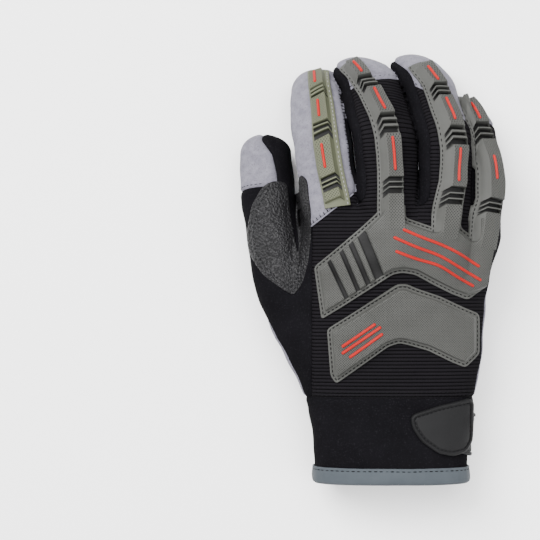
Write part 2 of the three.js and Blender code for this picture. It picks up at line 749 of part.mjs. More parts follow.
// Hand plate: a chevron with a stitched flange and a raised top.
const plateOutline = onHand([
  [-0.35, 0.36], [-0.02, 0.56], [0.03, 0.59], [0.08, 0.59], [0.13, 0.57], [0.26, 0.53], [0.4, 0.47], [0.48, 0.44],
  [0.49, 0.42], [0.49, 0.23], [0.41, 0.16], [0.33, 0.19], [0.2, 0.25], [0.09, 0.28], [0.04, 0.29], [-0.02, 0.27],
  [-0.15, 0.18], [-0.28, 0.09], [-0.3, 0.08], [-0.33, 0.12],
]);
const plateBars = [
  [[-0.09, 0.39], [-0.27, 0.27]],
  [[-0.06, 0.375], [-0.27, 0.235]],
  [[-0.05, 0.34], [-0.23, 0.215]],
];
const flangeEdge = 3;

function raisedPlate(outline) {
  return joinAll([
    layerOver(outline, flangeSkin, guardLow, guardTop),
    layerOver(inset(outline, flangeEdge), guardSkin, guardLow, guardTop),
  ]).intersect(upperHalf);
}

function surfaceBar(points) {
  return layerOver(ribbon(onHand(points), barWidth, 0), barFoot + barHeight, guardLow, guardTop)
    .subtract(grownSkin(barFoot));
}

let knuckleGuard = raisedPlate(knuckleOutline);
for (const name of ["middle", "ring", "little"]) {
  knuckleGuard = knuckleGuard.add(guardStrip(byName[name], guardStrips[name]));
}
knuckleGuard = knuckleGuard.subtract(clearSkin);
for (const groove of knuckleGrooves) {
  const groovePrism = prism(ribbon(onHand(groove.points), groove.width, 0), guardLow, guardTop);
  knuckleGuard = knuckleGuard.subtract(groovePrism.subtract(grownSkin(flangeSkin)));
}
addPiece("knuckle_guard", knuckleGuard, guardRubber);
knuckleBars.forEach((points, i) => {
  addPiece(`knuckle_bar_${i + 1}`, surfaceBar(points), redRubber);
});

addPiece("index_guard", guardStrip(byName.index, guardStrips.index).subtract(clearSkin), oliveRubber);
for (const [name, strips] of Object.entries(guardStrips)) {
  strips.bars.forEach(([from, to], i) => {
    addPiece(`${name}_bar_${i + 1}`, fingerBar(byName[name], strips, from, to), redRubber);
  });
}

addPiece("hand_plate", raisedPlate(plateOutline).subtract(clearSkin), guardRubber);
plateBars.forEach((points, i) => {
  addPiece(`plate_bar_${i + 1}`, surfaceBar(points), redRubber);
});

// Wrist strap: from the palm side round the little-finger side to the back, with a raised tab there.
const strapMiddle = 0.55 * cuffLength;
const strapLow = strapMiddle - strapWidth / 2;
const strapHigh = strapMiddle + strapWidth / 2;
const strapEnd = -0.46 * cuffWidth;
const pastEdge = 0.7 * cuffWidth;
const palmStrap = [
  { x: strapEnd, y: strapMiddle - 0.2 * strapWidth },
  { x: strapEnd + 0.12 * strapWidth, y: strapLow + 0.06 * strapWidth },
  { x: strapEnd + 0.4 * strapWidth, y: strapLow - 0.02 * strapWidth },
  { x: pastEdge, y: strapLow + 0.1 * strapWidth },
  { x: pastEdge, y: strapHigh + 0.12 * strapWidth },
  { x: strapEnd + 0.4 * strapWidth, y: strapHigh },
  { x: strapEnd + 0.12 * strapWidth, y: strapHigh - 0.1 * strapWidth },
  { x: strapEnd, y: strapMiddle + 0.2 * strapWidth },
];
const tabOutline = [
  { x: pastEdge, y: strapHigh + 0.12 * strapWidth },
  { x: 0.5 * cuffWidth, y: strapHigh + 0.2 * strapWidth },
  { x: 0.31 * cuffWidth, y: strapHigh + 0.16 * strapWidth },
  { x: 0.155 * cuffWidth, y: strapHigh },
  { x: 0.125 * cuffWidth, y: strapHigh - 0.08 * strapWidth },
  { x: 0.137 * cuffWidth, y: strapHigh - 0.33 * strapWidth },
  { x: 0.195 * cuffWidth, y: strapLow + 0.4 * strapWidth },
  { x: 0.3 * cuffWidth, y: strapLow + 0.12 * strapWidth },
  { x: 0.4 * cuffWidth, y: strapLow + 0.05 * strapWidth },
  { x: pastEdge, y: strapLow + 0.1 * strapWidth },
];
const strapSkin = seamGap + strapThickness;
const strapBars = [0.23, 0.15, 0.07].map((across) => ({
  from: { x: -across * cuffWidth, y: strapHigh - 0.22 * strapWidth },
  to: { x: -(across + 0.075) * cuffWidth, y: strapLow + 0.12 * strapWidth },
}));

// A slanting bar let into the strap, and the pocket it lies in.
const strapBarWidth = 1.6 * barWidth;

function strapBar(bar) {
  return layerOver(ribbon([bar.from, bar.to], strapBarWidth, 0), strapSkin, -reach, cuffMiddle)
    .subtract(grownSkin(strapSkin - barHeight));
}

function strapPocket(bar) {
  return prism(ribbon([bar.from, bar.to], strapBarWidth, seamGap), -reach, cuffMiddle)
    .subtract(grownSkin(strapSkin - barHeight - seamGap));
}

const overTape = layerOver(inset(ventTapeOutline, -seamGap), tapeThickness + 2 * seamGap, -reach, cuffMiddle);
let wristStrap = joinAll([
  layerOver(palmStrap, strapSkin, -reach, cuffMiddle),
  layerOver(tabOutline, strapSkin, cuffMiddle, reach),
]).subtract(clearSkin).subtract(overTape);
for (const bar of strapBars) {
  wristStrap = wristStrap.subtract(strapPocket(bar));
}
addPiece("wrist_strap", wristStrap, strapRubber);
strapBars.forEach((bar, i) => {
  addPiece(`strap_bar_${i + 1}`, strapBar(bar), redRubber);
});
const tabRim = 2.5;
const tabFoot = strapSkin + seamGap;
const tabEnd = new THREE.Vector3(0.51 * cuffWidth, reach, reach);
const tab = layerOver(inset(tabOutline, tabRim), tabFoot + tabHeight, 1.3 * cuffMiddle, reach)
  .subtract(grownSkin(tabFoot))
  .intersect(block(new THREE.Vector3(-reach, -reach, -reach), tabEnd));
addPiece("strap_tab", tab, strapRubber);

// Patches: the pebbled saddle over the web of the thumb, and the two padded patches on the palm.
const saddleOutline = onHand([
  [-0.64, 1.13], [-0.7, 1.1], [-0.76, 1], [-0.79, 0.85], [-0.77, 0.74], [-0.7, 0.64], [-0.6, 0.57], [-0.53, 0.53],
  [-0.48, 0.6], [-0.45, 0.71], [-0.44, 0.82], [-0.44, 0.95], [-0.47, 1.13], [-0.51, 1.16], [-0.52, 0.95],
  [-0.535, 0.78], [-0.555, 0.95], [-0.57, 1.12],
]);
const patchMiddle = 0.42 * knuckleHeight;
const saddle = layerOver(saddleOutline, patchSkin, patchMiddle, guardTop).subtract(clearSkin);
addPiece("thumb_saddle", saddle, pebbled);

const upperPad = onHand([
  [0.43, 1.02], [0.4, 1.08], [0.3, 1.11], [0.25, 1.06], [0.25, 0.91], [0.22, 0.89], [0.19, 0.92], [0.18, 1.12],
  [0.15, 1.2], [0.11, 1.19], [0.1, 1.06], [0.06, 1], [0.03, 1.04], [0.01, 1.16], [-0.04, 1.24], [-0.1, 1.22],
  [-0.13, 1.1], [-0.18, 1], [-0.21, 1.03], [-0.24, 1.16], [-0.3, 1.22], [-0.4, 1.22], [-0.42, 0.81], [-0.29, 0.78],
  [-0.05, 0.73], [0.07, 0.71], [0.12, 0.63], [0.15, 0.55], [0.21, 0.53], [0.31, 0.57], [0.41, 0.65], [0.44, 0.75],
]);
const lowerPad = onHand([
  [0.39, 0.52], [0.32, 0.55], [0.2, 0.49], [0.14, 0.49], [0.11, 0.62], [0.05, 0.67], [-0.2, 0.73], [-0.27, 0.72],
  [-0.4, 0.59], [-0.36, 0.46], [-0.35, 0.36], [-0.38, 0.21], [-0.38, 0.14], [-0.33, 0.08], [-0.11, 0.08],
  [0.12, 0.11], [0.3, 0.15], [0.36, 0.25], [0.39, 0.36],
]);
const padHigh = 0.62 * knuckleHeight;
addPiece("palm_pad_upper", layerOver(upperPad, patchSkin, -reach, padHigh).subtract(clearSkin), padding);
addPiece("palm_pad_lower", layerOver(lowerPad, patchSkin, -reach, 0.8 * padHigh).subtract(clearSkin), padding);

// The glove stands on its lowest points, with the origin under the middle of its box.
const box = new THREE.Box3().setFromObject(pieces);
const middle = box.getCenter(new THREE.Vector3());
pieces.position.set(-middle.x, -middle.y, -box.min.z);

export default glove;
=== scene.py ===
"""Impact glove for the right hand, lying palm down on a pale floor: suede, ribbed knit and neoprene panels sewn round
an open hand, moulded rubber guards on its back, gripping patches on its palm and a rubber strap round its cuff.
Sizes in the sections are millimetres in the pattern's own frame: +X to the little finger, +Y to the fingertips."""
import math

import bpy
import numpy as np
import openvdb
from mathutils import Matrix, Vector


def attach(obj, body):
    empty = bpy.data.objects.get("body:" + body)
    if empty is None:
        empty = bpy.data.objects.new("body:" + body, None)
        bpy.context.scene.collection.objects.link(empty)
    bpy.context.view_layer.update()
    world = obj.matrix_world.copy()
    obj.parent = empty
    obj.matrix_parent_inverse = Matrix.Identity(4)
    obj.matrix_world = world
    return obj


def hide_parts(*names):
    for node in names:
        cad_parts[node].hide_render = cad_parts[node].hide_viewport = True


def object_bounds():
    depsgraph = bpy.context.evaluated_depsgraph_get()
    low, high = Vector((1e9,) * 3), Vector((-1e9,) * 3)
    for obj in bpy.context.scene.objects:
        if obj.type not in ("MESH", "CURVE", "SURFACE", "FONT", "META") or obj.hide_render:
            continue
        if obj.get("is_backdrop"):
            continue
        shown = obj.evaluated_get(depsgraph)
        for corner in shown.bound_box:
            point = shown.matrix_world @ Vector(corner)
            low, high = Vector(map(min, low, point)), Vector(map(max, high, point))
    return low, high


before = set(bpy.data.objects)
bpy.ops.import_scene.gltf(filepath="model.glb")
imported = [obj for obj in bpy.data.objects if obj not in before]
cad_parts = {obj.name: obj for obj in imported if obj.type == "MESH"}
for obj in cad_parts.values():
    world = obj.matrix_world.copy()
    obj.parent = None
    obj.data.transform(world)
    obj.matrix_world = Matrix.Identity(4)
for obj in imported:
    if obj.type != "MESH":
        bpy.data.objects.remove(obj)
cad_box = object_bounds()

# The camera looks straight down on the glove's back from about a metre, with the glove in the right half of the
# picture as one of a pair would lie.
pattern_shift = np.array([13.36, -124.453, -2.491])
camera_place = np.array([-67.2, 118.7, 1100.0])
camera_data = bpy.data.cameras.new("camera")
camera_data.lens = 126.2
camera_data.sensor_width = 36
camera_data.clip_end = 20
camera = bpy.data.objects.new("camera", camera_data)
camera.location = (camera_place + pattern_shift) / 1000
bpy.context.collection.objects.link(camera)
bpy.context.scene.camera = camera

# A pale studio floor under the glove, matt like seamless paper, and soft light from large panels on all sides. The
# strongest panel stands over the fingertips on the left.
floor_half = 2.4
floor_mesh = bpy.data.meshes.new("floor")
floor_corners = [(-1, -1), (1, -1), (1, 1), (-1, 1)]
floor_mesh.from_pydata([(x * floor_half, y * floor_half, 0) for x, y in floor_corners], [], [(0, 1, 2, 3)])
floor = bpy.data.objects.new("floor", floor_mesh)
bpy.context.collection.objects.link(floor)
floor_paint = bpy.data.materials.new("studio_floor")
floor_paint.use_nodes = True
floor_shader = floor_paint.node_tree.nodes["Principled BSDF"]
floor_shader.inputs["Base Color"].default_value = (0.96, 0.96, 0.962, 1)
floor_shader.inputs["Roughness"].default_value = 0.9
floor_shader.inputs["Specular IOR Level"].default_value = 0.1
floor_mesh.materials.append(floor_paint)
floor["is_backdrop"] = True

panels_of_light = [
    {"name": "key", "place": (-0.9, 0.9, 1.5), "size": 1.1, "power": 96},
    {"name": "fill", "place": (1.1, -0.5, 1.3), "size": 1.3, "power": 22},
    {"name": "top", "place": (0.1, 0.5, 1.9), "size": 1.6, "power": 60},
    {"name": "low", "place": (0.2, -1.5, 0.7), "size": 1.0, "power": 16},
]
for panel in panels_of_light:
    light = bpy.data.lights.new(panel["name"], "AREA")
    light.size = panel["size"]
    light.energy = panel["power"]
    lamp = bpy.data.objects.new(panel["name"], light)
    lamp.location = panel["place"]
    aim = -np.array(panel["place"])
    across = math.atan2(aim[1], aim[0])
    down = math.acos(-aim[2] / np.linalg.norm(aim))
    lamp.rotation_euler = (down, 0, across - math.pi / 2)
    bpy.context.collection.objects.link(lamp)
world = bpy.data.worlds.new("studio")
world.use_nodes = True
world.node_tree.nodes["Background"].inputs["Color"].default_value = (1, 1, 1, 1)
world.node_tree.nodes["Background"].inputs["Strength"].default_value = 0.52
bpy.context.scene.world = world

# The shape that all panels are cut to: a hand with five bent fingers and a straight cuff, as the glove holds when
# nothing is in it. Each station is a section of the hand at y. A finger's bends are at its root and at its two
# joints, in degrees, and its tip ends short millimetres before its pattern's length.
palm_width, palm_length = 102, 108
cuff_length = 47
finger_width, finger_depth = 32, 25
cloth_wall = 1.8
stations = np.array([
    # y, left, right, centre, half, arch
    [-20, -41.4, 44.4, 25.8, 21.1, 0],
    [0, -41.4, 44.4, 25.8, 21.1, 0],
    [21.2, -42.7, 44.4, 26.0, 21.3, 0],
    [39.5, -44.9, 46.6, 25.6, 20.9, 0],
    [47, -46.6, 48.0, 27.1, 19.8, 0],
    [60, -52.0, 50.5, 31.4, 18.6, 0.6],
    [79.4, -58.1, 53.0, 35.2, 18.2, 3.2],
    [98.8, -63.2, 54.1, 39.7, 17.6, 7.7],
    [114, -63.2, 54.6, 43.5, 16.6, 11.5],
    [124.8, -56.1, 54.6, 46.7, 16.0, 13.4],
    [135.6, -49.5, 55.1, 49.0, 15.0, 14.7],
    [146.4, -47.4, 54.1, 49.6, 12.8, 15.4],
    [152.8, -43.9, 50.0, 49.3, 8.3, 15.4],
    [155, -40.8, 46.9, 49.0, 4.5, 15.4],
    [175, -40.8, 46.9, 49.0, 4.5, 15.4],
])
hand_end = 155.0
section_power = 2.5
fingers = {
    "index": dict(length=117, root=(-28.05, 128, 46.1), yaw=9.6, pitch=2, roll=-8, bones=(0.504, 0.265),
                  bends=(6, 17, 28), wide=(1, 1.03, 0.92), deep=(1, 0.96, 0.88), free=0.27, short=1),
    "middle": dict(length=130, root=(-0.8, 130.2, 49.9), yaw=0, pitch=-1, roll=24, bones=(0.492, 0.277),
                   bends=(6, 26, 40), wide=(1.06, 1.23, 0.98), deep=(1, 0.96, 0.88), free=0.22, short=5),
    "ring": dict(length=137, root=(28.05, 125.8, 45.8), yaw=-6, pitch=-4, roll=34, bones=(0.474, 0.285),
                 bends=(8, 27, 36), wide=(1.0, 1.04, 0.92), deep=(0.96, 0.92, 0.84), free=0.2, short=7),
    "little": dict(length=114, root=(46.7, 116.1, 35.8), yaw=-11, pitch=-1, roll=46, bones=(0.491, 0.272),
                   bends=(8, 20, 34), wide=(0.86, 0.88, 0.82), deep=(0.88, 0.84, 0.8), free=0.3, short=4),
    "thumb": dict(length=152, root=(-36, 57.8, 29), yaw=30.5, pitch=-3, roll=-64, bones=(0.382, 0.329),
                  bends=(8, 16, 6), wide=(0.97, 0.88, 0.76), deep=(1.2, 1.26, 1.2), free=0.49, short=7),
}


def soft_step(value):
    """0 up to 0, 1 from 1 on, and 3v^2 - 2v^3 between."""
    share = np.clip(value, 0, 1)
    return share * share * (3 - 2 * share)


def middle_line(finger, steps=240):
    """The finger's middle line: its direction turns from forward towards the palm by three soft bends, and is summed
    step by step. Returns each step's place, direction, back direction and half sizes."""
    yaw, pitch, roll = np.radians([finger["yaw"], finger["pitch"], finger["roll"]])
    forward = np.array([-math.sin(yaw) * math.cos(pitch), math.cos(yaw) * math.cos(pitch), -math.sin(pitch)])
    level = np.cross(forward, [0, 0, 1])
    level /= np.linalg.norm(level)
    back = np.cross(level, forward) * math.cos(roll) + level * math.sin(roll)
    length = finger["length"]
    first = finger["bones"][0] * length
    second = first + finger["bones"][1] * length
    bend = 0.13 * length

    def turn(s):
        return np.radians(
            finger["bends"][0] * soft_step(s / (0.5 * first))
            + finger["bends"][1] * soft_step((s - first) / bend + 0.5)
            + finger["bends"][2] * soft_step((s - second) / bend + 0.5))

    s = np.linspace(0, length, steps + 1)
    half = turn(s[:-1] + length / steps / 2)
    stride = length / steps
    moves = stride * (np.cos(half)[:, None] * forward - np.sin(half)[:, None] * back)
    places = np.vstack([finger["root"], finger["root"] + np.cumsum(moves, axis=0)])
    angle = turn(s)[:, None]
    share = s / length
    slimming = 0.75 + 0.25 * np.minimum(1, share / 0.2)
    return dict(
        s=s, place=places,
        along=np.cos(angle) * forward - np.sin(angle) * back,
        up=np.sin(angle) * forward + np.cos(angle) * back,
        across=np.cross(forward, back),
        wide=slimming * np.interp(share, [0, 0.6, 1], finger["wide"]) * finger_width / 2,
        deep=slimming * np.interp(share, [0, 0.6, 1], finger["deep"]) * finger_depth / 2,
    )


for finger in fingers.values():
    finger["line"] = middle_line(finger)
    finger["dome"] = 0.95 * finger["line"]["wide"][-1]
    finger["last"] = finger["length"] - finger["short"] - finger["dome"]


def frame_at(finger, s):
    """The middle line's place, direction, back direction and half sizes at lengths s, read between its steps."""
    line = finger["line"]
    vectors = [np.stack([np.interp(s, line["s"], line[key][:, i]) for i in range(3)], axis=1)
               for key in ("place", "along", "up")]
    return (*vectors, np.interp(s, line["s"], line["wide"]), np.interp(s, line["s"], line["deep"]))


def finger_coordinates(finger, points):
    """Each point's length s along the finger, its shares of the section's half width and half depth to the side and
    to the back, its height over the middle line, and its distance from the finger's skin. The skin is an ellipse
    carried along the line, closed by half an ellipsoid at the tip."""
    line = finger["line"]
    coarse = slice(None, None, 6)
    gaps = ((points[:, None, :] - line["place"][None, coarse, :]) ** 2).sum(axis=2)
    s = line["s"][coarse][gaps.argmin(axis=1)]
    last = finger["last"]
    for _ in range(3):
        place, along, up, wide, deep = frame_at(finger, np.clip(s, 0, last))
        s = np.clip(s, 0, last) + ((points - place) * along).sum(axis=1)
    place, along, up, wide, deep = frame_at(finger, np.clip(s, 0, last))
    offset = points - place
    side = (offset * line["across"]).sum(axis=1)
    rise = (offset * up).sum(axis=1)
    beyond = (offset * along).sum(axis=1)
    beyond = np.where(s > last, np.maximum(beyond, 0), np.minimum(beyond, 0))
    reach = np.where(s > last, finger["dome"], 12.0)
    size = np.sqrt((side / wide) ** 2 + (rise / deep) ** 2 + (beyond / reach) ** 2)
    steep = np.sqrt((side / wide**2) ** 2 + (rise / deep**2) ** 2 + (beyond / reach**2) ** 2)
    distance = (size - 1) * size / np.maximum(steep, 1e-6)
    return np.column_stack([s, side / wide, rise / deep, offset[:, 2], distance])


station_y = np.arange(-20, 175.1, 1.0)
station_rows = np.stack([np.interp(station_y, stations[:, 0], stations[:, i]) for i in range(1, 6)], axis=1)
blur = np.exp(-0.5 * (np.arange(-12, 13) / 4.5) ** 2)
padded_rows = np.pad(station_rows, ((12, 12), (0, 0)), mode="edge")
station_rows = np.stack([np.convolve(padded_rows[:, i], blur / blur.sum(), "valid") for i in range(5)], axis=1)


def body_coordinates(points):
    """Each point's height over the arched middle surface of the hand, and its distance from the skin of the hand and
    cuff along the line from the section's middle. Sections are superellipses of power 2.5, drooping by arch."""
    left, right, centre, half, arch = (np.interp(points[:, 1], station_y, station_rows[:, i]) for i in range(5))
    x = points[:, 0] - (left + right) / 2
    height = points[:, 2] - centre + arch * (points[:, 0] / (palm_width / 2)) ** 2
    wide = (right - left) / 2
    size = ((np.abs(x) / wide) ** section_power + (np.abs(height) / half) ** section_power) ** (1 / section_power)
    far = np.hypot(x, height)
    distance = far - far / np.maximum(size, 1e-6)
    return height, np.maximum(distance, points[:, 1] - hand_end)


def creases(points):
    """Shallow waves of the cloth: a few crossing sine waves 17 to 44 mm long, under half a millimetre high."""
    x, y, z = points.T
    return (0.22 * np.sin(0.21 * x + 0.17 * y + 0.9) + 0.18 * np.sin(0.33 * y - 0.14 * x + 0.2 * z)
            + 0.12 * np.sin(0.31 * z + 0.22 * x - 0.2 * y + 2))


def join_softly(first, second, width):
    """The smaller of two distances, rounded where they differ by less than width."""
    overlap = np.maximum(width - np.abs(first - second), 0) / width
    return np.minimum(first, second) - overlap**2 * width / 4


def skin_distance(points):
    """Distance from the glove's outer skin: the fingers' distances joined sharply with each other and softly with
    the hand's."""
    nearest = np.full(len(points), 60.0)
    for finger in fingers.values():
        low = finger["line"]["place"].min(axis=0) - 26
        high = finger["line"]["place"].max(axis=0) + 26
        near = ((points > low) & (points < high)).all(axis=1)
        nearest[near] = np.minimum(nearest[near], finger_coordinates(finger, points[near])[:, 4])
    return join_softly(nearest, body_coordinates(points)[1], 6.0) + creases(points)


def skin_normal(points, step=0.15):
    """The outward direction: the distance's slope by central differences."""
    slope = np.stack([skin_distance(points + step * axis) - skin_distance(points - step * axis)
                      for axis in np.eye(3)], axis=1)
    return slope / np.maximum(np.linalg.norm(slope, axis=1, keepdims=True), 1e-9)


grid_step = 1.3
grid_low = np.array([-112.0, -5.0, -6.0])
grid_count = np.array([145, 208, 66])
axes = [grid_low[i] + grid_step * np.arange(grid_count[i]) for i in range(3)]
distances = np.empty(grid_count)
for i in range(0, grid_count[0], 12):
    slab = np.stack(np.meshgrid(axes[0][i:i + 12], axes[1], axes[2], indexing="ij"), axis=-1)
    distances[i:i + 12] = skin_distance(slab.reshape(-1, 3)).reshape(slab.shape[:3])
volume = openvdb.FloatGrid(10.0)
volume.copyFromArray(np.clip(distances, -10, 10))
places, corners = volume.convertToQuads(isovalue=0.0)
skin_points = grid_low + grid_step * places.astype(float)
for _ in range(3):
    skin_points -= 0.9 * skin_distance(skin_points)[:, None] * skin_normal(skin_points)
triangles = np.vstack([corners[:, [0, 1, 2]], corners[:, [0, 2, 3]]]).astype(int)
sample = triangles[::97]
edges = skin_points[sample[:, 1:]] - skin_points[sample[:, :1]]
facing = (np.cross(edges[:, 0], edges[:, 1]) * skin_normal(skin_points[sample[:, 0]])).sum()
if facing < 0:
    triangles = triangles[:, ::-1]


def split_along(cloth, value):
    """Cuts every triangle that the line value = 0 crosses, at the points where its edges reach 0, and reads all the
    cloth's other arrays there. A point's own 0 counts as just above 0."""
    value = np.where(np.abs(value) < 1e-4, 1e-4, value)
    triangles = cloth["triangles"]
    above = value[triangles] > 0
    count = above.sum(axis=1)
    cut = (count == 1) | (count == 2)
    chosen = triangles[cut]
    rows = np.arange(len(chosen))
    lone = (above[cut] == (count[cut] == 1)[:, None]).argmax(axis=1)
    a, b, c = (chosen[rows, (lone + i) % 3] for i in range(3))
    pairs = np.sort(np.vstack([np.column_stack([a, b]), np.column_stack([a, c])]), axis=1)
    unique, place = np.unique(pairs, axis=0, return_inverse=True)
    place = place.reshape(-1) + len(value)
    share = value[unique[:, 0]] / (value[unique[:, 0]] - value[unique[:, 1]])
    made = {}
    for key, data in cloth.items():
        if key != "triangles":
            part = share.reshape((-1,) + (1,) * (data.ndim - 1))
            made[key] = np.concatenate([data, data[unique[:, 0]] * (1 - part) + data[unique[:, 1]] * part])
    ab, ac = place[:len(chosen)], place[len(chosen):]
    made["triangles"] = np.vstack([triangles[~cut], np.column_stack([a, ab, ac]), np.column_stack([ab, b, c]),
                                   np.column_stack([ab, c, ac])])
    return made


def sewn_cloth(points, triangles):
    """The skin with, at each point, its height over the hand's middle surface, its distance from the hand, and its
    coordinates on each finger."""
    height, distance = body_coordinates(points)
    cloth = dict(triangles=triangles, point=points, height=height, body=distance)
    for name, finger in fingers.items():
        cloth[name] = finger_coordinates(finger, points)
    return cloth


def angle_round(cloth, name):
    """The angle round a finger from its back line, positive towards the little finger."""
    return np.arctan2(cloth[name][:, 1], cloth[name][:, 2])


def nearest_finger(cloth):
    return np.stack([cloth[name][:, 4] for name in fingers], axis=1).argmin(axis=1)


hand_seam_height = 3.8


def back_side(cloth):
    """Above 0 on the back of the glove: height over the hand's seam, which passes into the height over the middle
    line on each finger. The thumb's seam is level, so that its whole upper side is back."""
    seam = cloth["height"] - hand_seam_height
    owner = nearest_finger(cloth)
    for i, (name, finger) in enumerate(fingers.items()):
        root = finger["free"] * finger["length"]
        run = 22 if name == "thumb" else 10
        share = soft_step((cloth[name][:, 0] - root + run) / (1.6 * run)) * (owner == i)
        height = cloth[name][:, 3] + 4 if name == "thumb" else cloth[name][:, 2] * finger_depth / 2
        seam = seam * (1 - share) + height * share
    return seam


side_band_middle, side_band_half = math.radians(113), math.radians(47)
seam_radius = 13.5  # millimetres round a finger for each radian
seam_reach = 4  # how far off a finger's skin its seams are still drawn


def side_band(cloth, name, side, start):
    """Above 0 on the strip down one side of a finger, from 66 to 160 degrees round from its back, which ends in a
    round lobe start millimetres from the finger's root."""
    angle = np.arctan2(side * cloth[name][:, 1], cloth[name][:, 2])
    band = (side_band_half - np.abs(angle - side_band_middle)) * seam_radius
    end = cloth[name][:, 0] - start
    round_off = 6.5
    inside = round_off - np.hypot(np.maximum(round_off - band, 0), np.maximum(round_off - end, 0))
    return np.minimum(inside, seam_reach - cloth[name][:, 4])


side_strips = [
    # name, finger on its left and where the strip starts on it, finger on its right and where it starts on it
    {"name": "index_middle_side", "left": ("index", 28), "right": ("middle", 26)},
    {"name": "middle_ring_side", "left": ("middle", 23), "right": ("ring", 28)},
    {"name": "ring_little_side", "left": ("ring", 25), "right": ("little", 34)},
]
cap_seams = {
    # share of the finger's length at the back line, and how much further it starts per radian to the right
    "middle": (0.72, 0.02), "ring": (0.6, -0.09), "little": (0.74, 0.0), "thumb": (0.74, 0.0),
}
thumb_cap_edge = np.array([(0.78, 92), (0.86, 84), (0.92, 62)])  # share of its length, degrees from its back
tip_seam = 0.77
gusset_seam = -44.2
index_seam = dict(foot=np.array([-45.2, 142.3]), across=np.array([-0.61, 0.793]))


def cap_side(cloth, name):
    """Above 0 past the seam of a fingertip's cap, in millimetres along the finger."""
    share, slant = cap_seams[name]
    angle = np.clip(angle_round(cloth, name), -1.6, 1.6)
    past = cloth[name][:, 0] - (share + slant * angle) * fingers[name]["length"]
    if name == "thumb":
        edge = np.interp(cloth[name][:, 0] / fingers[name]["length"], *thumb_cap_edge.T)
        past = np.minimum(past, (np.radians(edge) - angle_round(cloth, name)) * seam_radius)
    return np.minimum(past, seam_reach - cloth[name][:, 4])


def tip_side(cloth, name):
    """Above 0 past the seam of a fingertip's pad."""
    past = cloth[name][:, 0] - tip_seam * fingers[name]["length"]
    return np.minimum(past, seam_reach - cloth[name][:, 4])


def index_side(cloth):
    """Above 0 past the slanting seam at the root of the index finger."""
    return (cloth["point"][:, :2] - index_seam["foot"]) @ index_seam["across"]


cloth = sewn_cloth(skin_points, triangles)
for border in (0, cuff_length):
    cloth = split_along(cloth, cloth["point"][:, 1] - border)
for first, second in (("index", "middle"), ("middle", "ring"), ("ring", "little")):
    cloth = split_along(cloth, cloth[first][:, 4] - cloth[second][:, 4])
for strip in side_strips:
    for side, (name, start) in ((1, strip["left"]), (-1, strip["right"])):
        cloth = split_along(cloth, side_band(cloth, name, side, start))
cloth = split_along(cloth, back_side(cloth))
cloth = split_along(cloth, index_side(cloth))
cloth = split_along(cloth, cloth["point"][:, 0] - gusset_seam)
for name in cap_seams:
    cloth = split_along(cloth, cap_side(cloth, name))
for name in fingers:
    cloth = split_along(cloth, tip_side(cloth, name))

# Each triangle's panel, read at its middle.
middle_of = {key: data[cloth["triangles"]].mean(axis=1) for key, data in cloth.items() if key != "triangles"}
middle_of["triangles"] = cloth["triangles"]
names = list(fingers)
owner = np.array(names)[nearest_finger(middle_of)]
upper = back_side(middle_of) > 0
panel_of = np.where(upper, "back_panel", "palm_panel").astype("U20")
panel_of[upper & (middle_of["point"][:, 0] < gusset_seam)] = "side_gusset"
panel_of[upper & (index_side(middle_of) > 0) & (owner == "index")] = "index_back"
for name in cap_seams:
    panel_of[upper & (owner == name) & (cap_side(middle_of, name) > 0)] = name + "_cap"
for name in fingers:
    panel_of[~upper & (owner == name) & (tip_side(middle_of, name) > 0)] = name + "_tip"
for strip in side_strips:
    for side, (name, start) in ((1, strip["left"]), (-1, strip["right"])):
        panel_of[(owner == name) & (side_band(middle_of, name, side, start) > 0)] = strip["name"]
panel_of[middle_of["point"][:, 1] < cuff_length] = "cuff"
panel_of[middle_of["point"][:, 1] < 0] = "none"


def set_mesh(mesh, points, faces):
    """Fills a mesh with points in metres and faces of three or four corners, all faces of one array alike."""
    faces = [part for part in (faces if isinstance(faces, list) else [faces]) if len(part)]
    loops = np.concatenate([part.ravel() for part in faces])
    sizes = np.concatenate([np.full(len(part), part.shape[1]) for part in faces])
    mesh.vertices.add(len(points))
    mesh.vertices.foreach_set("co", points.astype(np.float32).ravel())
    mesh.loops.add(len(loops))
    mesh.loops.foreach_set("vertex_index", loops.astype(np.int32))
    mesh.polygons.add(len(sizes))
    mesh.polygons.foreach_set("loop_start", np.concatenate([[0], np.cumsum(sizes)[:-1]]).astype(np.int32))
    mesh.polygons.foreach_set("use_smooth", np.ones(len(sizes), dtype=bool))
    mesh.update(calc_edges=True)
    mesh.validate()


def add_piece(name, points, faces, finish, nodes=(), vectors=None, masks=None):
    """A piece of the glove from points in the pattern's millimetres. vectors and masks are arrays that its finish
    reads at each point, as attributes."""
    mesh = bpy.data.meshes.new(name)
    set_mesh(mesh, (points + pattern_shift) / 1000, faces)
    for key, data in (vectors or {}).items():
        mesh.attributes.new(key, "FLOAT_VECTOR", "POINT").data.foreach_set("vector", data.astype(np.float32).ravel())
    for key, data in (masks or {}).items():
        mesh.attributes.new(key, "FLOAT", "POINT").data.foreach_set("value", data.astype(np.float32).ravel())
    mesh.materials.append(finish)
    piece = bpy.data.objects.new(name, mesh)
    bpy.context.collection.objects.link(piece)
    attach(piece, "root")
    if nodes:
        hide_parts(*nodes)
    return piece


def open_edges(triangles):
    """The edges that only one triangle has, each in that triangle's direction."""
    edges = np.vstack([triangles[:, [0, 1]], triangles[:, [1, 2]], triangles[:, [2, 0]]])
    unique, first, count = np.unique(np.sort(edges, axis=1), axis=0, return_index=True, return_counts=True)
    return edges[first[count == 1]]


def distance_to(points, targets):
    """Each point's distance from the nearest of the targets."""
    result = np.empty(len(points))
    for i in range(0, len(points), 2000):
        part = points[i:i + 2000]
        square = (part**2).sum(axis=1)[:, None] + (targets**2).sum(axis=1)[None] - 2 * part @ targets.T
        result[i:i + 2000] = np.sqrt(np.maximum(square.min(axis=1), 0))
    return result


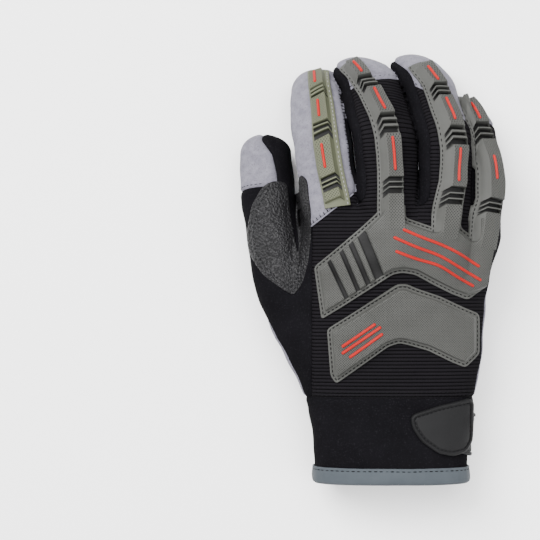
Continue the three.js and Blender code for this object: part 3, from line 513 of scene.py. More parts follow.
def panel_wall(name, thickness=cloth_wall, sunk=0.65):
    """A panel as a wall of cloth: its outer face dips by sunk within a millimetre of its seams and swells a little
    beside them, and its inner face lies thickness under the skin. Returns points, triangles and the outer points'
    own arrays."""
    chosen = cloth["triangles"][panel_of == name]
    used, local = np.unique(chosen, return_inverse=True)
    local = local.reshape(-1, 3)
    outer = cloth["point"][used]
    normal = skin_normal(outer)
    rim = open_edges(local)
    seam = distance_to(outer, outer[np.unique(rim)])
    swell = 0.25 * soft_step(seam / 1.8) * soft_step((7 - seam) / 5)
    shown = outer + normal * (swell - sunk * np.exp(-((seam / 1.1) ** 2)))[:, None]
    inner = outer - normal * thickness
    count = len(outer)
    a, b = rim.T
    sides = np.vstack([np.column_stack([b, a, a + count]), np.column_stack([b, a + count, b + count])])
    faces = np.vstack([local, local[:, ::-1] + count, sides])
    own = {key: data[used] for key, data in cloth.items() if key != "triangles"}
    own["seam"] = seam
    return np.vstack([shown, inner]), faces, own


def add_node(tree, kind, sockets=(), **settings):
    """A shader node with its settings, and each socket set to a value or joined to another node's output."""
    node = tree.nodes.new("ShaderNode" + kind)
    for key, value in settings.items():
        setattr(node, key, value)
    for key, value in dict(sockets).items():
        if isinstance(value, bpy.types.NodeSocket):
            tree.links.new(value, node.inputs[key])
        else:
            node.inputs[key].default_value = value
    return node


def reckon(tree, operation, first, second=0.0, third=0.0):
    return add_node(tree, "Math", {0: first, 1: second, 2: third}, operation=operation).outputs[0]


def start_group(name, inputs, outputs):
    """A node group with named sockets. inputs map a name to its default: a number, or a vector of three."""
    tree = bpy.data.node_groups.new(name, "ShaderNodeTree")
    for key, default in inputs.items():
        kind = "NodeSocketVector" if isinstance(default, tuple) else "NodeSocketFloat"
        socket = tree.interface.new_socket(name=key, in_out="INPUT", socket_type=kind)
        socket.default_value = default
    for key in outputs:
        tree.interface.new_socket(name=key, in_out="OUTPUT", socket_type="NodeSocketFloat")
    return tree, tree.nodes.new("NodeGroupInput").outputs, tree.nodes.new("NodeGroupOutput").inputs


def use_group(tree, group, **values):
    node = tree.nodes.new("ShaderNodeGroup")
    node.node_tree = group
    for key, value in values.items():
        if isinstance(value, bpy.types.NodeSocket):
            tree.links.new(value, node.inputs[key])
        else:
            node.inputs[key].default_value = value
    return node.outputs


# Fibres that stand on a napped or knitted surface: mottling a few millimetres wide, a fine grain over it, and flecks
# of lint. Every cloth and rubber of the glove uses some of it.
nap_group, nap_in, nap_out = start_group(
    "cloth_nap", {"Position": (0.0, 0.0, 0.0), "Patch": 60.0, "Grain": 900.0}, ["Mottle", "Height", "Fleck"])
patches = add_node(nap_group, "TexNoise", {"Vector": nap_in["Position"], "Scale": nap_in["Patch"], "Detail": 4.0,
                                           "Roughness": 0.6}).outputs["Fac"]
grain = add_node(nap_group, "TexNoise", {"Vector": nap_in["Position"], "Scale": nap_in["Grain"], "Detail": 3.0,
                                         "Roughness": 0.7}).outputs["Fac"]
flecks = add_node(nap_group, "TexNoise", {"Vector": nap_in["Position"],
                                          "Scale": reckon(nap_group, "MULTIPLY", nap_in["Grain"], 0.55),
                                          "Detail": 2.0}).outputs["Fac"]
nap_group.links.new(patches, nap_out["Mottle"])
nap_group.links.new(reckon(nap_group, "MULTIPLY_ADD", grain, 0.75, reckon(nap_group, "MULTIPLY", patches, 0.25)),
                    nap_out["Height"])
nap_group.links.new(add_node(nap_group, "MapRange", {"Value": flecks, "From Min": 0.58, "From Max": 0.72}).outputs[0],
                    nap_out["Fleck"])

# Ribs of a knitted cloth: rounded ridges with narrow valleys between, and the stitches' loops along each ridge. Knit
# is a place on the cloth in millimetres, X along the ribs and Y across them.
rib_group, rib_in, rib_out = start_group("knit_ribs", {"Knit": (0.0, 0.0, 0.0), "Pitch": 2.2}, ["Height", "ValleyShade"])
knit_xyz = add_node(rib_group, "SeparateXYZ", {0: rib_in["Knit"]}).outputs
rib_turn = reckon(rib_group, "DIVIDE", knit_xyz["Y"], rib_in["Pitch"])
rib_wave = reckon(rib_group, "ABSOLUTE", reckon(rib_group, "SINE", reckon(rib_group, "MULTIPLY", rib_turn, math.pi)))
rib_round = reckon(rib_group, "POWER", rib_wave, 0.7)
loop_wave = reckon(rib_group, "SINE", reckon(rib_group, "MULTIPLY", knit_xyz["X"], 2 * math.pi / 0.9))
rib_group.links.new(reckon(rib_group, "MULTIPLY_ADD", loop_wave, 0.06, rib_round), rib_out["Height"])
# The second output marks the valleys between ribs, which the finishes darken as painted shade.
rib_group.links.new(
    add_node(rib_group, "MapRange", {"Value": rib_wave, "From Min": 0.55, "From Max": 0.1}).outputs[0],
    rib_out["ValleyShade"])


def start_finish(name, colour, roughness, sheen=0.0, specular=0.5):
    """A material with its shader's uniform values set. Returns the material, its tree and its shader."""
    material = bpy.data.materials.new(name)
    material.use_nodes = True
    tree = material.node_tree
    shader = tree.nodes["Principled BSDF"]
    shader.inputs["Base Color"].default_value = (*colour, 1)
    shader.inputs["Roughness"].default_value = roughness
    shader.inputs["Sheen Weight"].default_value = sheen
    shader.inputs["Sheen Roughness"].default_value = 0.5
    shader.inputs["Specular IOR Level"].default_value = specular
    return material, tree, shader


def place_of(tree):
    return add_node(tree, "TexCoord").outputs["Object"]


def blend_colours(tree, share, first, second):
    """A colour between two, by a share that changes over the surface."""
    node = add_node(tree, "Mix", {"Factor": share}, data_type="RGBA")
    for key, colour in (("A", first), ("B", second)):
        socket = [item for item in node.inputs if item.name == key and item.type == "RGBA"][0]
        if isinstance(colour, bpy.types.NodeSocket):
            tree.links.new(colour, socket)
        else:
            socket.default_value = (*colour, 1)
    return [item for item in node.outputs if item.type == "RGBA"][0]


def set_bump(tree, shader, height, strength, depth):
    bump = add_node(tree, "Bump", {"Height": height, "Strength": strength, "Distance": depth})
    tree.links.new(bump.outputs["Normal"], shader.inputs["Normal"])


# The palm side, the index finger's back and the fingertips' caps are napped suede: pale lilac grey, mottled where
# the nap lies different ways, and flecked with darker fibres.
suede, tree, shader = start_finish("suede", (0.13, 0.126, 0.15), 0.95, sheen=0.05, specular=0.06)
nap = use_group(tree, nap_group, Position=place_of(tree), Patch=260.0, Grain=2600.0)
tone = blend_colours(tree, nap["Mottle"], (0.06, 0.0575, 0.073), (0.185, 0.179, 0.212))
tree.links.new(blend_colours(tree, reckon(tree, "MULTIPLY", nap["Fleck"], 0.55), tone, (0.04, 0.039, 0.047)),
               shader.inputs["Base Color"])
set_bump(tree, shader, nap["Height"], 0.5, 0.0004)

# The back of the hand is a black knit with ribs across it, which goes on up the backs of the three outer fingers.
# Its ribs are rounded ridges of loops with narrow valleys between, darkened to near black as painted shade.
ribbed_knit, tree, shader = start_finish("ribbed_knit", (0.006, 0.0055, 0.0065), 0.9, specular=0.02)
knit = add_node(tree, "Attribute", attribute_name="knit").outputs["Vector"]
ribs = use_group(tree, rib_group, Knit=knit, Pitch=2.0)
nap = use_group(tree, nap_group, Position=place_of(tree), Patch=120.0, Grain=2200.0)
ridge = blend_colours(tree, nap["Height"], (0.004, 0.0036, 0.0044), (0.009, 0.0082, 0.0096))
# Painted shade: the valleys between ribs are darkened to near black.
tree.links.new(blend_colours(tree, ribs["ValleyShade"], ridge, (0.0005, 0.0005, 0.0005)), shader.inputs["Base Color"])
set_bump(tree, shader, reckon(tree, "MULTIPLY_ADD", nap["Height"], 0.2, ribs["Height"]), 1.0, 0.0006)

# The cuff, the sides of the fingers and the back of the thumb are plain black neoprene, faced with a stretch cloth
# that has a short nap and holds a little lint.
neoprene, tree, shader = start_finish("neoprene", (0.004, 0.0038, 0.0048), 0.95, specular=0.02)
nap = use_group(tree, nap_group, Position=place_of(tree), Patch=45.0, Grain=2600.0)
base = blend_colours(tree, nap["Mottle"], (0.0018, 0.0017, 0.0021), (0.005, 0.0047, 0.0058))
tree.links.new(blend_colours(tree, reckon(tree, "MULTIPLY", nap["Fleck"], 0.25), base, (0.025, 0.024, 0.028)),
               shader.inputs["Base Color"])
set_bump(tree, shader, nap["Height"], 0.35, 0.0003)

# The pads on the fronts of the fingertips are dark grey gripping cloth: a woven base printed with a fine net of
# rubber cells.
grip_group, grip_in, grip_out = start_group("grip_texture", {"Position": (0.0, 0.0, 0.0), "Cell": 800.0},
                                            ["Height", "Pit"])
cells = add_node(grip_group, "TexVoronoi", {"Vector": grip_in["Position"], "Scale": grip_in["Cell"]},
                 feature="F1").outputs["Distance"]
grip_group.links.new(reckon(grip_group, "SUBTRACT", 1.0, cells), grip_out["Height"])
grip_group.links.new(add_node(grip_group, "MapRange", {"Value": cells, "From Min": 0.4, "From Max": 0.75}).outputs[0],
                     grip_out["Pit"])
palm_padding, tree, shader = start_finish("palm_padding", (0.016, 0.016, 0.017), 0.7, specular=0.2)
grip = use_group(tree, grip_group, Position=place_of(tree), Cell=900.0)
nap = use_group(tree, nap_group, Position=place_of(tree), Patch=70.0, Grain=1800.0)
base = blend_colours(tree, nap["Mottle"], (0.011, 0.011, 0.012), (0.024, 0.024, 0.026))
tree.links.new(blend_colours(tree, reckon(tree, "MULTIPLY", grip["Pit"], 0.7), base, (0.003, 0.003, 0.0032)),
               shader.inputs["Base Color"])
set_bump(tree, shader, grip["Height"], 0.6, 0.0005)

# The sewn panels of the hand: each is a wall of cloth that meets its neighbours in a sunk seam. One row of the table
# is one panel, with its finish and the solids that it stands for.
panel_rows = [
    {"name": "cuff", "finish": neoprene, "slot": "neoprene", "nodes": ["cuff"]},
    {"name": "back_panel", "finish": ribbed_knit, "slot": "ribbed_knit",
     "nodes": ["back_panel", "middle_back", "ring_back", "little_back"]},
    {"name": "side_gusset", "finish": neoprene, "slot": "neoprene", "nodes": ["side_gusset", "thumb_back"]},
    {"name": "palm_panel", "finish": suede, "slot": "suede",
     "nodes": ["palm_panel", "index_front", "middle_front", "ring_front", "little_front", "thumb_front"]},
    {"name": "index_back", "finish": suede, "slot": "suede", "nodes": ["index_back"]},
    {"name": "index_middle_side", "finish": neoprene, "slot": "neoprene",
     "nodes": ["index_side", "middle_side_left"]},
    {"name": "middle_ring_side", "finish": neoprene, "slot": "neoprene",
     "nodes": ["middle_side_right", "ring_side_left"]},
    {"name": "ring_little_side", "finish": neoprene, "slot": "neoprene",
     "nodes": ["ring_side_right", "little_side"]},
]
panel_rows += [{"name": name + "_cap", "finish": suede, "slot": "suede", "nodes": [name + "_cap"]}
               for name in cap_seams]
panel_rows += [{"name": name + "_tip", "finish": palm_padding, "slot": "palm_padding", "nodes": [name + "_tip"]}
               for name in fingers]


def knit_coordinates(own, shown_count):
    """For each point, millimetres along a rib and across the ribs: X and Y on the hand, which pass into the way
    round and along the finger on each finger."""
    point = own["point"]
    along, across = point[:, 0].copy(), point[:, 1].copy()
    owner = nearest_finger(own)
    root, finger_radius = 15.0, 13
    for name in ("middle", "ring", "little"):
        place = frame_at(fingers[name], np.array([root]))[0][0]
        share = soft_step((own[name][:, 0] - 12) / 20) * (owner == names.index(name))
        across = across * (1 - share) + (place[1] + own[name][:, 0] - root) * share
        along = along * (1 - share) + (place[0] + angle_round(own, name) * finger_radius) * share
    knit = np.column_stack([along, across, np.zeros(len(point))])
    return np.vstack([knit, knit])[:shown_count]


for row in panel_rows:
    points, faces, own = panel_wall(row["name"])
    knit = {"knit": knit_coordinates(own, len(points))} if row["slot"] == "ribbed_knit" else None
    piece = add_piece(row["name"], points, faces, row["finish"], row["nodes"], vectors=knit)
    count = len(own["point"])
    sides = points[faces[(faces < count).all(axis=1)]]


def flat_sheet(low, high, step):
    """A flat sheet of small triangles from low to high, to be cut to an outline. spot is each point's own place."""
    counts = np.ceil((np.array(high) - low) / step).astype(int) + 1
    x, y = (np.linspace(low[i], high[i], counts[i]) for i in (0, 1))
    spot = np.stack(np.meshgrid(x, y, indexing="ij"), axis=-1).reshape(-1, 2)
    index = np.arange(len(spot)).reshape(counts)
    a, b, c, d = (part.ravel() for part in (index[:-1, :-1], index[1:, :-1], index[1:, 1:], index[:-1, 1:]))
    return dict(triangles=np.vstack([np.column_stack([a, b, c]), np.column_stack([a, c, d])]), spot=spot)


def trim(sheet, key):
    """The part of a sheet where one of its values is above 0, cut along the line where it is 0."""
    sheet = split_along(sheet, sheet[key])
    kept = sheet[key][sheet["triangles"]].mean(axis=1) > 0
    used, local = np.unique(sheet["triangles"][kept], return_inverse=True)
    made = {name: data[used] for name, data in sheet.items() if name != "triangles"}
    made["triangles"] = local.reshape(-1, 3)
    return made


def on_hand(rows):
    """Outlines on the back and palm are drawn as shares of the palm's half width and of its length."""
    return np.array([[across * palm_width, cuff_length + along * palm_length] for across, along in rows])


def rounded(outline, radius, closed=True, arc=5):
    """An outline with each corner replaced by a curve that starts radius away from it, or less on short sides."""
    before, after = np.roll(outline, 1, axis=0) - outline, np.roll(outline, -1, axis=0) - outline
    far_before, far_after = np.linalg.norm(before, axis=1), np.linalg.norm(after, axis=1)
    start = outline + before * (np.minimum(radius, 0.45 * far_before) / far_before)[:, None]
    end = outline + after * (np.minimum(radius, 0.45 * far_after) / far_after)[:, None]
    t = np.linspace(0, 1, arc)[None, :, None]
    curve = (1 - t) ** 2 * start[:, None] + 2 * t * (1 - t) * outline[:, None] + t**2 * end[:, None]
    if closed:
        return curve.reshape(-1, 2)
    return np.vstack([outline[:1], curve[1:-1].reshape(-1, 2), outline[-1:]])


def line_distance(spot, line, closed=False):
    """Each spot's distance from a line of straight pieces."""
    start = line if closed else line[:-1]
    run = (np.roll(line, -1, axis=0) - line)[:len(start)]
    result = np.empty(len(spot))
    for i in range(0, len(spot), 20000):
        offset = spot[i:i + 20000, None] - start[None]
        share = np.clip((offset * run).sum(axis=2) / np.maximum((run**2).sum(axis=1), 1e-9), 0, 1)
        result[i:i + 20000] = np.linalg.norm(offset - share[..., None] * run, axis=2).min(axis=1)
    return result


def inside_distance(spot, outline):
    """Distance from a closed outline, above 0 inside it: a ray to the right crosses it an odd number of times."""
    start, end = outline[None], np.roll(outline, -1, axis=0)[None]
    inside = np.empty(len(spot), dtype=bool)
    for i in range(0, len(spot), 20000):
        x, y = spot[i:i + 20000, :1], spot[i:i + 20000, 1:]
        spans = (start[..., 1] > y) != (end[..., 1] > y)
        rise = np.where(spans, end[..., 1] - start[..., 1], 1)
        reach = start[..., 0] + (y - start[..., 1]) / rise * (end[..., 0] - start[..., 0])
        inside[i:i + 20000] = (spans & (x < reach)).sum(axis=1) % 2 == 1
    return line_distance(spot, outline, closed=True) * np.where(inside, 1, -1)


def drape(spot, level, side=1):
    """Points on the glove's skin, grown by level, straight down from each spot of the plan, or straight up to it from
    under the palm with side -1: a march through the grid of distances, then steps on the distance itself."""
    level = np.zeros(len(spot)) + level
    z = np.empty(len(spot))
    heights = axes[2][::-side]
    for i in range(0, len(spot), 20000):
        cell = (spot[i:i + 20000] - grid_low[:2]) / grid_step
        corner = np.clip(cell.astype(int), 0, grid_count[:2] - 2)
        fx, fy = np.clip(cell - corner, 0, 1).T[:, :, None]
        a, b = corner.T
        column = ((distances[a, b] * (1 - fx) + distances[a + 1, b] * fx) * (1 - fy)
                  + (distances[a, b + 1] * (1 - fx) + distances[a + 1, b + 1] * fx) * fy)[:, ::-side]
        below = column < level[i:i + 20000, None]
        hit = np.where(below.any(axis=1), np.maximum(below.argmax(axis=1), 1), column.argmin(axis=1).clip(1))
        rows = np.arange(len(cell))
        outer, inner = column[rows, hit - 1], column[rows, hit]
        share = np.clip((outer - level[i:i + 20000]) / np.maximum(outer - inner, 1e-6), 0, 1)
        z[i:i + 20000] = heights[hit - 1] + share * (heights[hit] - heights[hit - 1])
    points = np.column_stack([spot, z])
    for _ in range(3):
        gap = skin_distance(points) - level
        slope = (skin_distance(points + [0, 0, 0.1 * side]) - level - gap) / 0.1
        points[:, 2] -= side * np.clip(gap / np.maximum(slope, 0.3), -0.5, 0.5)
    for _ in range(2):
        gap = skin_distance(points) - level
        off = np.abs(gap) > 0.05
        points[off] -= gap[off, None] * skin_normal(points[off])
    return points


def steps(value, edges, heights):
    """A height that changes in straight ramps between edges of a value."""
    return np.interp(value, edges, heights)


def add_raised(name, sheet, points, level, finish, nodes=(), vectors=None, masks=None, foot=0.15, crease=35):
    """A moulded or sewn-on piece: its top is the sheet at points, level off the skin, and its underside lies foot off
    the skin, straight in from the top. Edges sharper than crease degrees shade sharp."""
    under = points - skin_normal(points) * (level - foot)[:, None]
    a, b = open_edges(sheet["triangles"]).T
    count = len(points)
    walls = np.vstack([np.column_stack([b, a, a + count]), np.column_stack([b, a + count, b + count])])
    faces = np.vstack([sheet["triangles"], sheet["triangles"][:, ::-1] + count, walls])
    both = {key: np.vstack([data, data]) for key, data in (vectors or {}).items()}
    single = {key: np.concatenate([data, data]) for key, data in (masks or {}).items()}
    piece = add_piece(name, np.vstack([points, under]), faces, finish, nodes, vectors=both, masks=single)
    piece.data.set_sharp_from_angle(angle=math.radians(crease))
    return piece


def even_places(line, step, start=0.5):
    """Places every step along a line of points, and the line's direction there."""
    run = np.linalg.norm(np.diff(line, axis=0), axis=1)
    far = np.concatenate([[0], np.cumsum(run)])
    count = max(int(far[-1] / step), 1)
    at = (np.arange(count) + start) * far[-1] / count
    read = lambda places: np.stack([np.interp(places, far, line[:, i]) for i in range(line.shape[1])], axis=1)
    along = read(np.minimum(at + 0.4, far[-1])) - read(np.maximum(at - 0.4, 0))
    return read(at), along / np.maximum(np.linalg.norm(along, axis=1, keepdims=True), 1e-9)


def thread_mesh(middles, along, upward, length, width, turn=0.0):
    """Stitches as long flattened beads, all alike, at the given middles: four rings of six points and two ends."""
    upward = upward / np.linalg.norm(upward, axis=1, keepdims=True)
    along = along - upward * (along * upward).sum(axis=1, keepdims=True)
    along /= np.maximum(np.linalg.norm(along, axis=1, keepdims=True), 1e-9)
    across = np.cross(upward, along)
    along, across = (along * math.cos(turn) + across * math.sin(turn),
                     across * math.cos(turn) - along * math.sin(turn))
    angles = np.arange(6) * math.pi / 3
    shape = [[-length / 2, 0, 0]]
    for place, size in ((-0.85, 0.6), (-0.4, 1), (0.4, 1), (0.85, 0.6)):
        shape += [[place * length / 2, size * width / 2 * math.cos(angle), size * width * 0.36 * math.sin(angle)]
                  for angle in angles]
    shape = np.array(shape + [[length / 2, 0, 0]])
    near = [[0, 1 + (i + 1) % 6, 1 + i] for i in range(6)]
    tube = [[1 + 6 * ring + i, 1 + 6 * ring + (i + 1) % 6, 7 + 6 * ring + (i + 1) % 6, 7 + 6 * ring + i]
            for ring in range(3) for i in range(6)]
    end = [[25, 19 + i, 19 + (i + 1) % 6] for i in range(6)]
    points = (middles[:, None] + shape[None, :, :1] * along[:, None] + shape[None, :, 1:2] * across[:, None]
              + shape[None, :, 2:] * upward[:, None]).reshape(-1, 3)
    shift = 26 * np.arange(len(middles))[:, None, None]
    return points, [(np.array(near + end)[None] + shift).reshape(-1, 3),
                    (np.array(tube)[None] + shift).reshape(-1, 4)]


def add_thread(name, rows, length, width, finish, turn=0.0):
    """One piece of thread made of rows of stitches. Each row is middles, directions and outward directions."""
    middles, along, upward = (np.vstack(part) for part in zip(*rows))
    points, faces = thread_mesh(middles, along, upward, length, width, turn)
    return add_piece(name, points, faces, finish)


def stitch_row(line, step, level, side=1, start=0.5):
    """A row of stitches along a line of the plan, laid on the skin grown by level."""
    middles, along = even_places(np.asarray(line), step, start)
    low, high = drape(middles - 0.5 * along, level, side), drape(middles + 0.5 * along, level, side)
    return (low + high) / 2, high - low, skin_normal((low + high) / 2)


def inner_line(outline, distance):
    """A closed line at one distance inside an outline: its points moved in by that much and kept where they still
    lie as far from every side."""
    before, after = outline - np.roll(outline, 1, axis=0), np.roll(outline, -1, axis=0) - outline
    along = (before / np.maximum(np.linalg.norm(before, axis=1, keepdims=True), 1e-9)
             + after / np.maximum(np.linalg.norm(after, axis=1, keepdims=True), 1e-9))
    inward = np.column_stack([-along[:, 1], along[:, 0]])
    inward /= np.maximum(np.linalg.norm(inward, axis=1, keepdims=True), 1e-9)
    turning = np.sum(outline[:, 0] * np.roll(outline[:, 1], -1) - outline[:, 1] * np.roll(outline[:, 0], -1))
    moved = outline + math.copysign(distance, turning) * inward
    moved = moved[inside_distance(moved, outline) > 0.93 * distance]
    return np.vstack([moved, moved[:1]])


# The guards are moulded thermoplastic rubber, matt with a soft bloom. Their tops have a fine grid of pits, in rows
# set half a pitch apart. The strap is a black rubber and the bars are a red one, both without pits.
pit_group, pit_in, pit_out = start_group("rubber_pits", {"Grid": (0.0, 0.0, 0.0), "Pitch": 1.4}, ["Pit", "Height"])
per_pitch = reckon(pit_group, "DIVIDE", 1.0, pit_in["Pitch"])
scaled = add_node(pit_group, "VectorMath", {0: pit_in["Grid"], "Scale": per_pitch}, operation="SCALE").outputs[0]
gaps = []
for shift in ((0.0, 0.0, 0.0), (0.5, 0.5, 0.0)):
    moved = add_node(pit_group, "VectorMath", {0: scaled, 1: shift}, operation="ADD").outputs[0]
    part = add_node(pit_group, "VectorMath", {0: moved}, operation="FRACTION").outputs[0]
    centred = add_node(pit_group, "VectorMath", {0: part, 1: (0.5, 0.5, 0.0)}, operation="SUBTRACT").outputs[0]
    gaps.append(add_node(pit_group, "VectorMath", {0: centred}, operation="LENGTH").outputs["Value"])
nearest_pit = reckon(pit_group, "MINIMUM", gaps[0], gaps[1])
pit = add_node(pit_group, "MapRange", {"Value": nearest_pit, "From Min": 0.24, "From Max": 0.13},
               interpolation_type="SMOOTHSTEP").outputs[0]
pit_group.links.new(pit, pit_out["Pit"])
pit_group.links.new(reckon(pit_group, "SUBTRACT", 1.0, pit), pit_out["Height"])


def rubber(name, low, high, pitted, roughness=0.62, pit_depth=0.0005, specular=0.22):
    """A moulded rubber in a tone between two colours. pitted is the share by which painted shade darkens its pits;
    when it is above 0, painted shade also darkens what its gap mask marks.
    """
    material, tree, shader = start_finish(name, low, roughness, specular=specular)
    place = place_of(tree)
    bloom = use_group(tree, nap_group, Position=place, Patch=90.0, Grain=700.0)
    tone = blend_colours(tree, bloom["Mottle"], low, high)
    height = reckon(tree, "MULTIPLY", bloom["Height"], 0.12)
    if pitted:
        grid = add_node(tree, "Attribute", attribute_name="grid").outputs["Vector"]
        pits = use_group(tree, pit_group, Grid=grid, Pitch=1.4)
        top = add_node(tree, "Attribute", attribute_name="top").outputs["Fac"]
        share = reckon(tree, "MULTIPLY", pits["Pit"], top)
        # Painted shade: the pits on the tops are darkened towards black.
        tone = blend_colours(tree, reckon(tree, "MULTIPLY", share, pitted), tone, tuple(0.12 * part for part in low))
        height = reckon(tree, "SUBTRACT", height, share)
        # Painted shade: where the gap mask is set, grooves and the floors between blocks are darkened to near black.
        gap = add_node(tree, "Attribute", attribute_name="gap").outputs["Fac"]
        tone = blend_colours(tree, gap, tone, (0.0015, 0.0015, 0.0015))
    tree.links.new(tone, shader.inputs["Base Color"])
    tree.links.new(reckon(tree, "MULTIPLY_ADD", bloom["Mottle"], 0.2, roughness - 0.1), shader.inputs["Roughness"])
    set_bump(tree, shader, height, 0.8, pit_depth)
    return material


guard_rubber = rubber("guard_rubber", (0.032, 0.0325, 0.0298), (0.05, 0.0505, 0.047), 0.75)
olive_rubber = rubber("olive_rubber", (0.052, 0.056, 0.034), (0.075, 0.08, 0.05), 0.6)
strap_rubber = rubber("strap_rubber", (0.0055, 0.0055, 0.0058), (0.0095, 0.0095, 0.01), 0.0, specular=0.09)
red_rubber = rubber("red_rubber", (0.23, 0.006, 0.005), (0.3, 0.009, 0.007), 0.0, roughness=0.5, specular=0.12)


def plain_thread(name, colour):
    material, tree, shader = start_finish(name, colour, 0.75, specular=0.08)
    nap = use_group(tree, nap_group, Position=place_of(tree), Patch=300.0, Grain=3000.0)
    tree.links.new(blend_colours(tree, nap["Mottle"], tuple(0.7 * part for part in colour), colour),
                   shader.inputs["Base Color"])
    set_bump(tree, shader, nap["Height"], 0.4, 0.0002)
    return material


black_thread = plain_thread("black_thread", (0.004, 0.004, 0.0045))
pale_thread = plain_thread("pale_thread", (0.22, 0.22, 0.225))

# The knuckle guard: one grey rubber moulding with a thin stitched flange, a raised top and four deep grooves on its
# arm to the thumb. Its roots run up the middle, ring and little fingers.
flange, rim_line, guard_height = 2.0, 1.35, 5.5
knuckle_outline = rounded(on_hand([
    (-0.42, 0.68), (-0.28, 0.79), (-0.17, 0.88), (-0.09, 0.95), (-0.05, 1), (0.07, 1), (0.07, 0.93), (0.24, 0.875),
    (0.25, 0.98), (0.37, 0.98), (0.375, 0.88), (0.455, 0.83), (0.46, 0.96), (0.58, 0.96), (0.575, 0.82),
    (0.55, 0.71), (0.53, 0.58), (0.42, 0.51), (0.33, 0.54), (0.22, 0.59), (0.12, 0.64), (0.05, 0.65), (0, 0.64),
    (-0.13, 0.56), (-0.26, 0.48), (-0.38, 0.41)]), 2.0)
knuckle_grooves = [
    {"line": [(-0.35, 0.73), (-0.235, 0.5)], "width": 2.4},
    {"line": [(-0.28, 0.77), (-0.175, 0.54)], "width": 2.4},
    {"line": [(-0.225, 0.8), (-0.12, 0.57)], "width": 2.8},
    {"line": [(-0.165, 0.84), (-0.06, 0.6)], "width": 5.4},
]


def plate_level(sheet, edge, bevel):
    """The height of a plate over the skin by the distance from its outline: a flange with a groove for its stitches,
    and a raised top with a bevelled edge. Grooves in the top go down to the flange."""
    level = steps(sheet["inside"], [0, 0.3, rim_line - 0.55, rim_line - 0.25, rim_line + 0.25, rim_line + 0.55, edge,
                                    edge + bevel, edge + bevel + 0.5],
                  [flange - 0.35, flange, flange, flange - 0.5, flange - 0.5, flange, flange, guard_height - 0.3,
                   guard_height])
    if "groove" in sheet:
        level = np.minimum(level, steps(sheet["groove"], [-0.7, -0.15, 0.25], [guard_height, guard_height - 0.6,
                                                                                flange + 0.1]))
    return level


def add_plate(name, outline, grooves, step, nodes, edge=2.5, bevel=0.9, full_side=200):
    """A plate on the back of the hand. The sheet is cut along every line at which its height changes. Right of
    full_side it is full height up to its edge."""
    sheet = flat_sheet(outline.min(axis=0) - 1, outline.max(axis=0) + 1, step)
    sheet["inside"] = inside_distance(sheet["spot"], outline)
    sheet = trim(sheet, "inside")
    spread = outline + np.column_stack([8.0 * (outline[:, 0] > full_side), np.zeros(len(outline))])
    sheet["inside"] = inside_distance(sheet["spot"], spread)
    for line in (0.3, rim_line - 0.55, rim_line - 0.25, rim_line + 0.25, rim_line + 0.55, edge, edge + bevel,
                 edge + bevel + 0.5):
        sheet = split_along(sheet, sheet["inside"] - line)
    if grooves:
        sheet["groove"] = np.max([row["width"] / 2 - line_distance(sheet["spot"], on_hand(row["line"]))
                                  for row in grooves], axis=0)
        for line in (-0.7, -0.15, 0.25):
            sheet = split_along(sheet, sheet["groove"] - line)
    level = plate_level(sheet, edge, bevel)
    points = drape(sheet["spot"], level)
    top = (level > guard_height - 0.2).astype(float)
    # gap marks the grooves in the top, which the rubber darkens as painted shade.
    gap = (sheet["groove"] > 0).astype(float) * (sheet["inside"] > edge) if grooves else np.zeros(len(points))
    grid = np.column_stack([sheet["spot"], np.zeros(len(points))])
    return add_raised(name, sheet, points, level, guard_rubber, nodes, vectors={"grid": grid},
                      masks={"top": top, "gap": gap})


add_plate("knuckle_guard", knuckle_outline, knuckle_grooves, 0.75, ["knuckle_guard"], full_side=52)

# The hand plate: a chevron of the same pitted rubber behind the knuckle guard, with a stitched flange of its own.
# It has no grooves and nothing is cast on its right half.
plate_outline = rounded(on_hand([
    (-0.35, 0.36), (-0.02, 0.56), (0.03, 0.59), (0.08, 0.59), (0.13, 0.57), (0.26, 0.53), (0.4, 0.47), (0.48, 0.44),
    (0.49, 0.42), (0.49, 0.23), (0.41, 0.16), (0.33, 0.19), (0.2, 0.25), (0.09, 0.28), (0.04, 0.29), (-0.02, 0.27),
    (-0.15, 0.18), (-0.28, 0.09), (-0.3, 0.08), (-0.33, 0.12)]), 2.0)
add_plate("hand_plate", plate_outline, [], 0.75, ["hand_plate"])

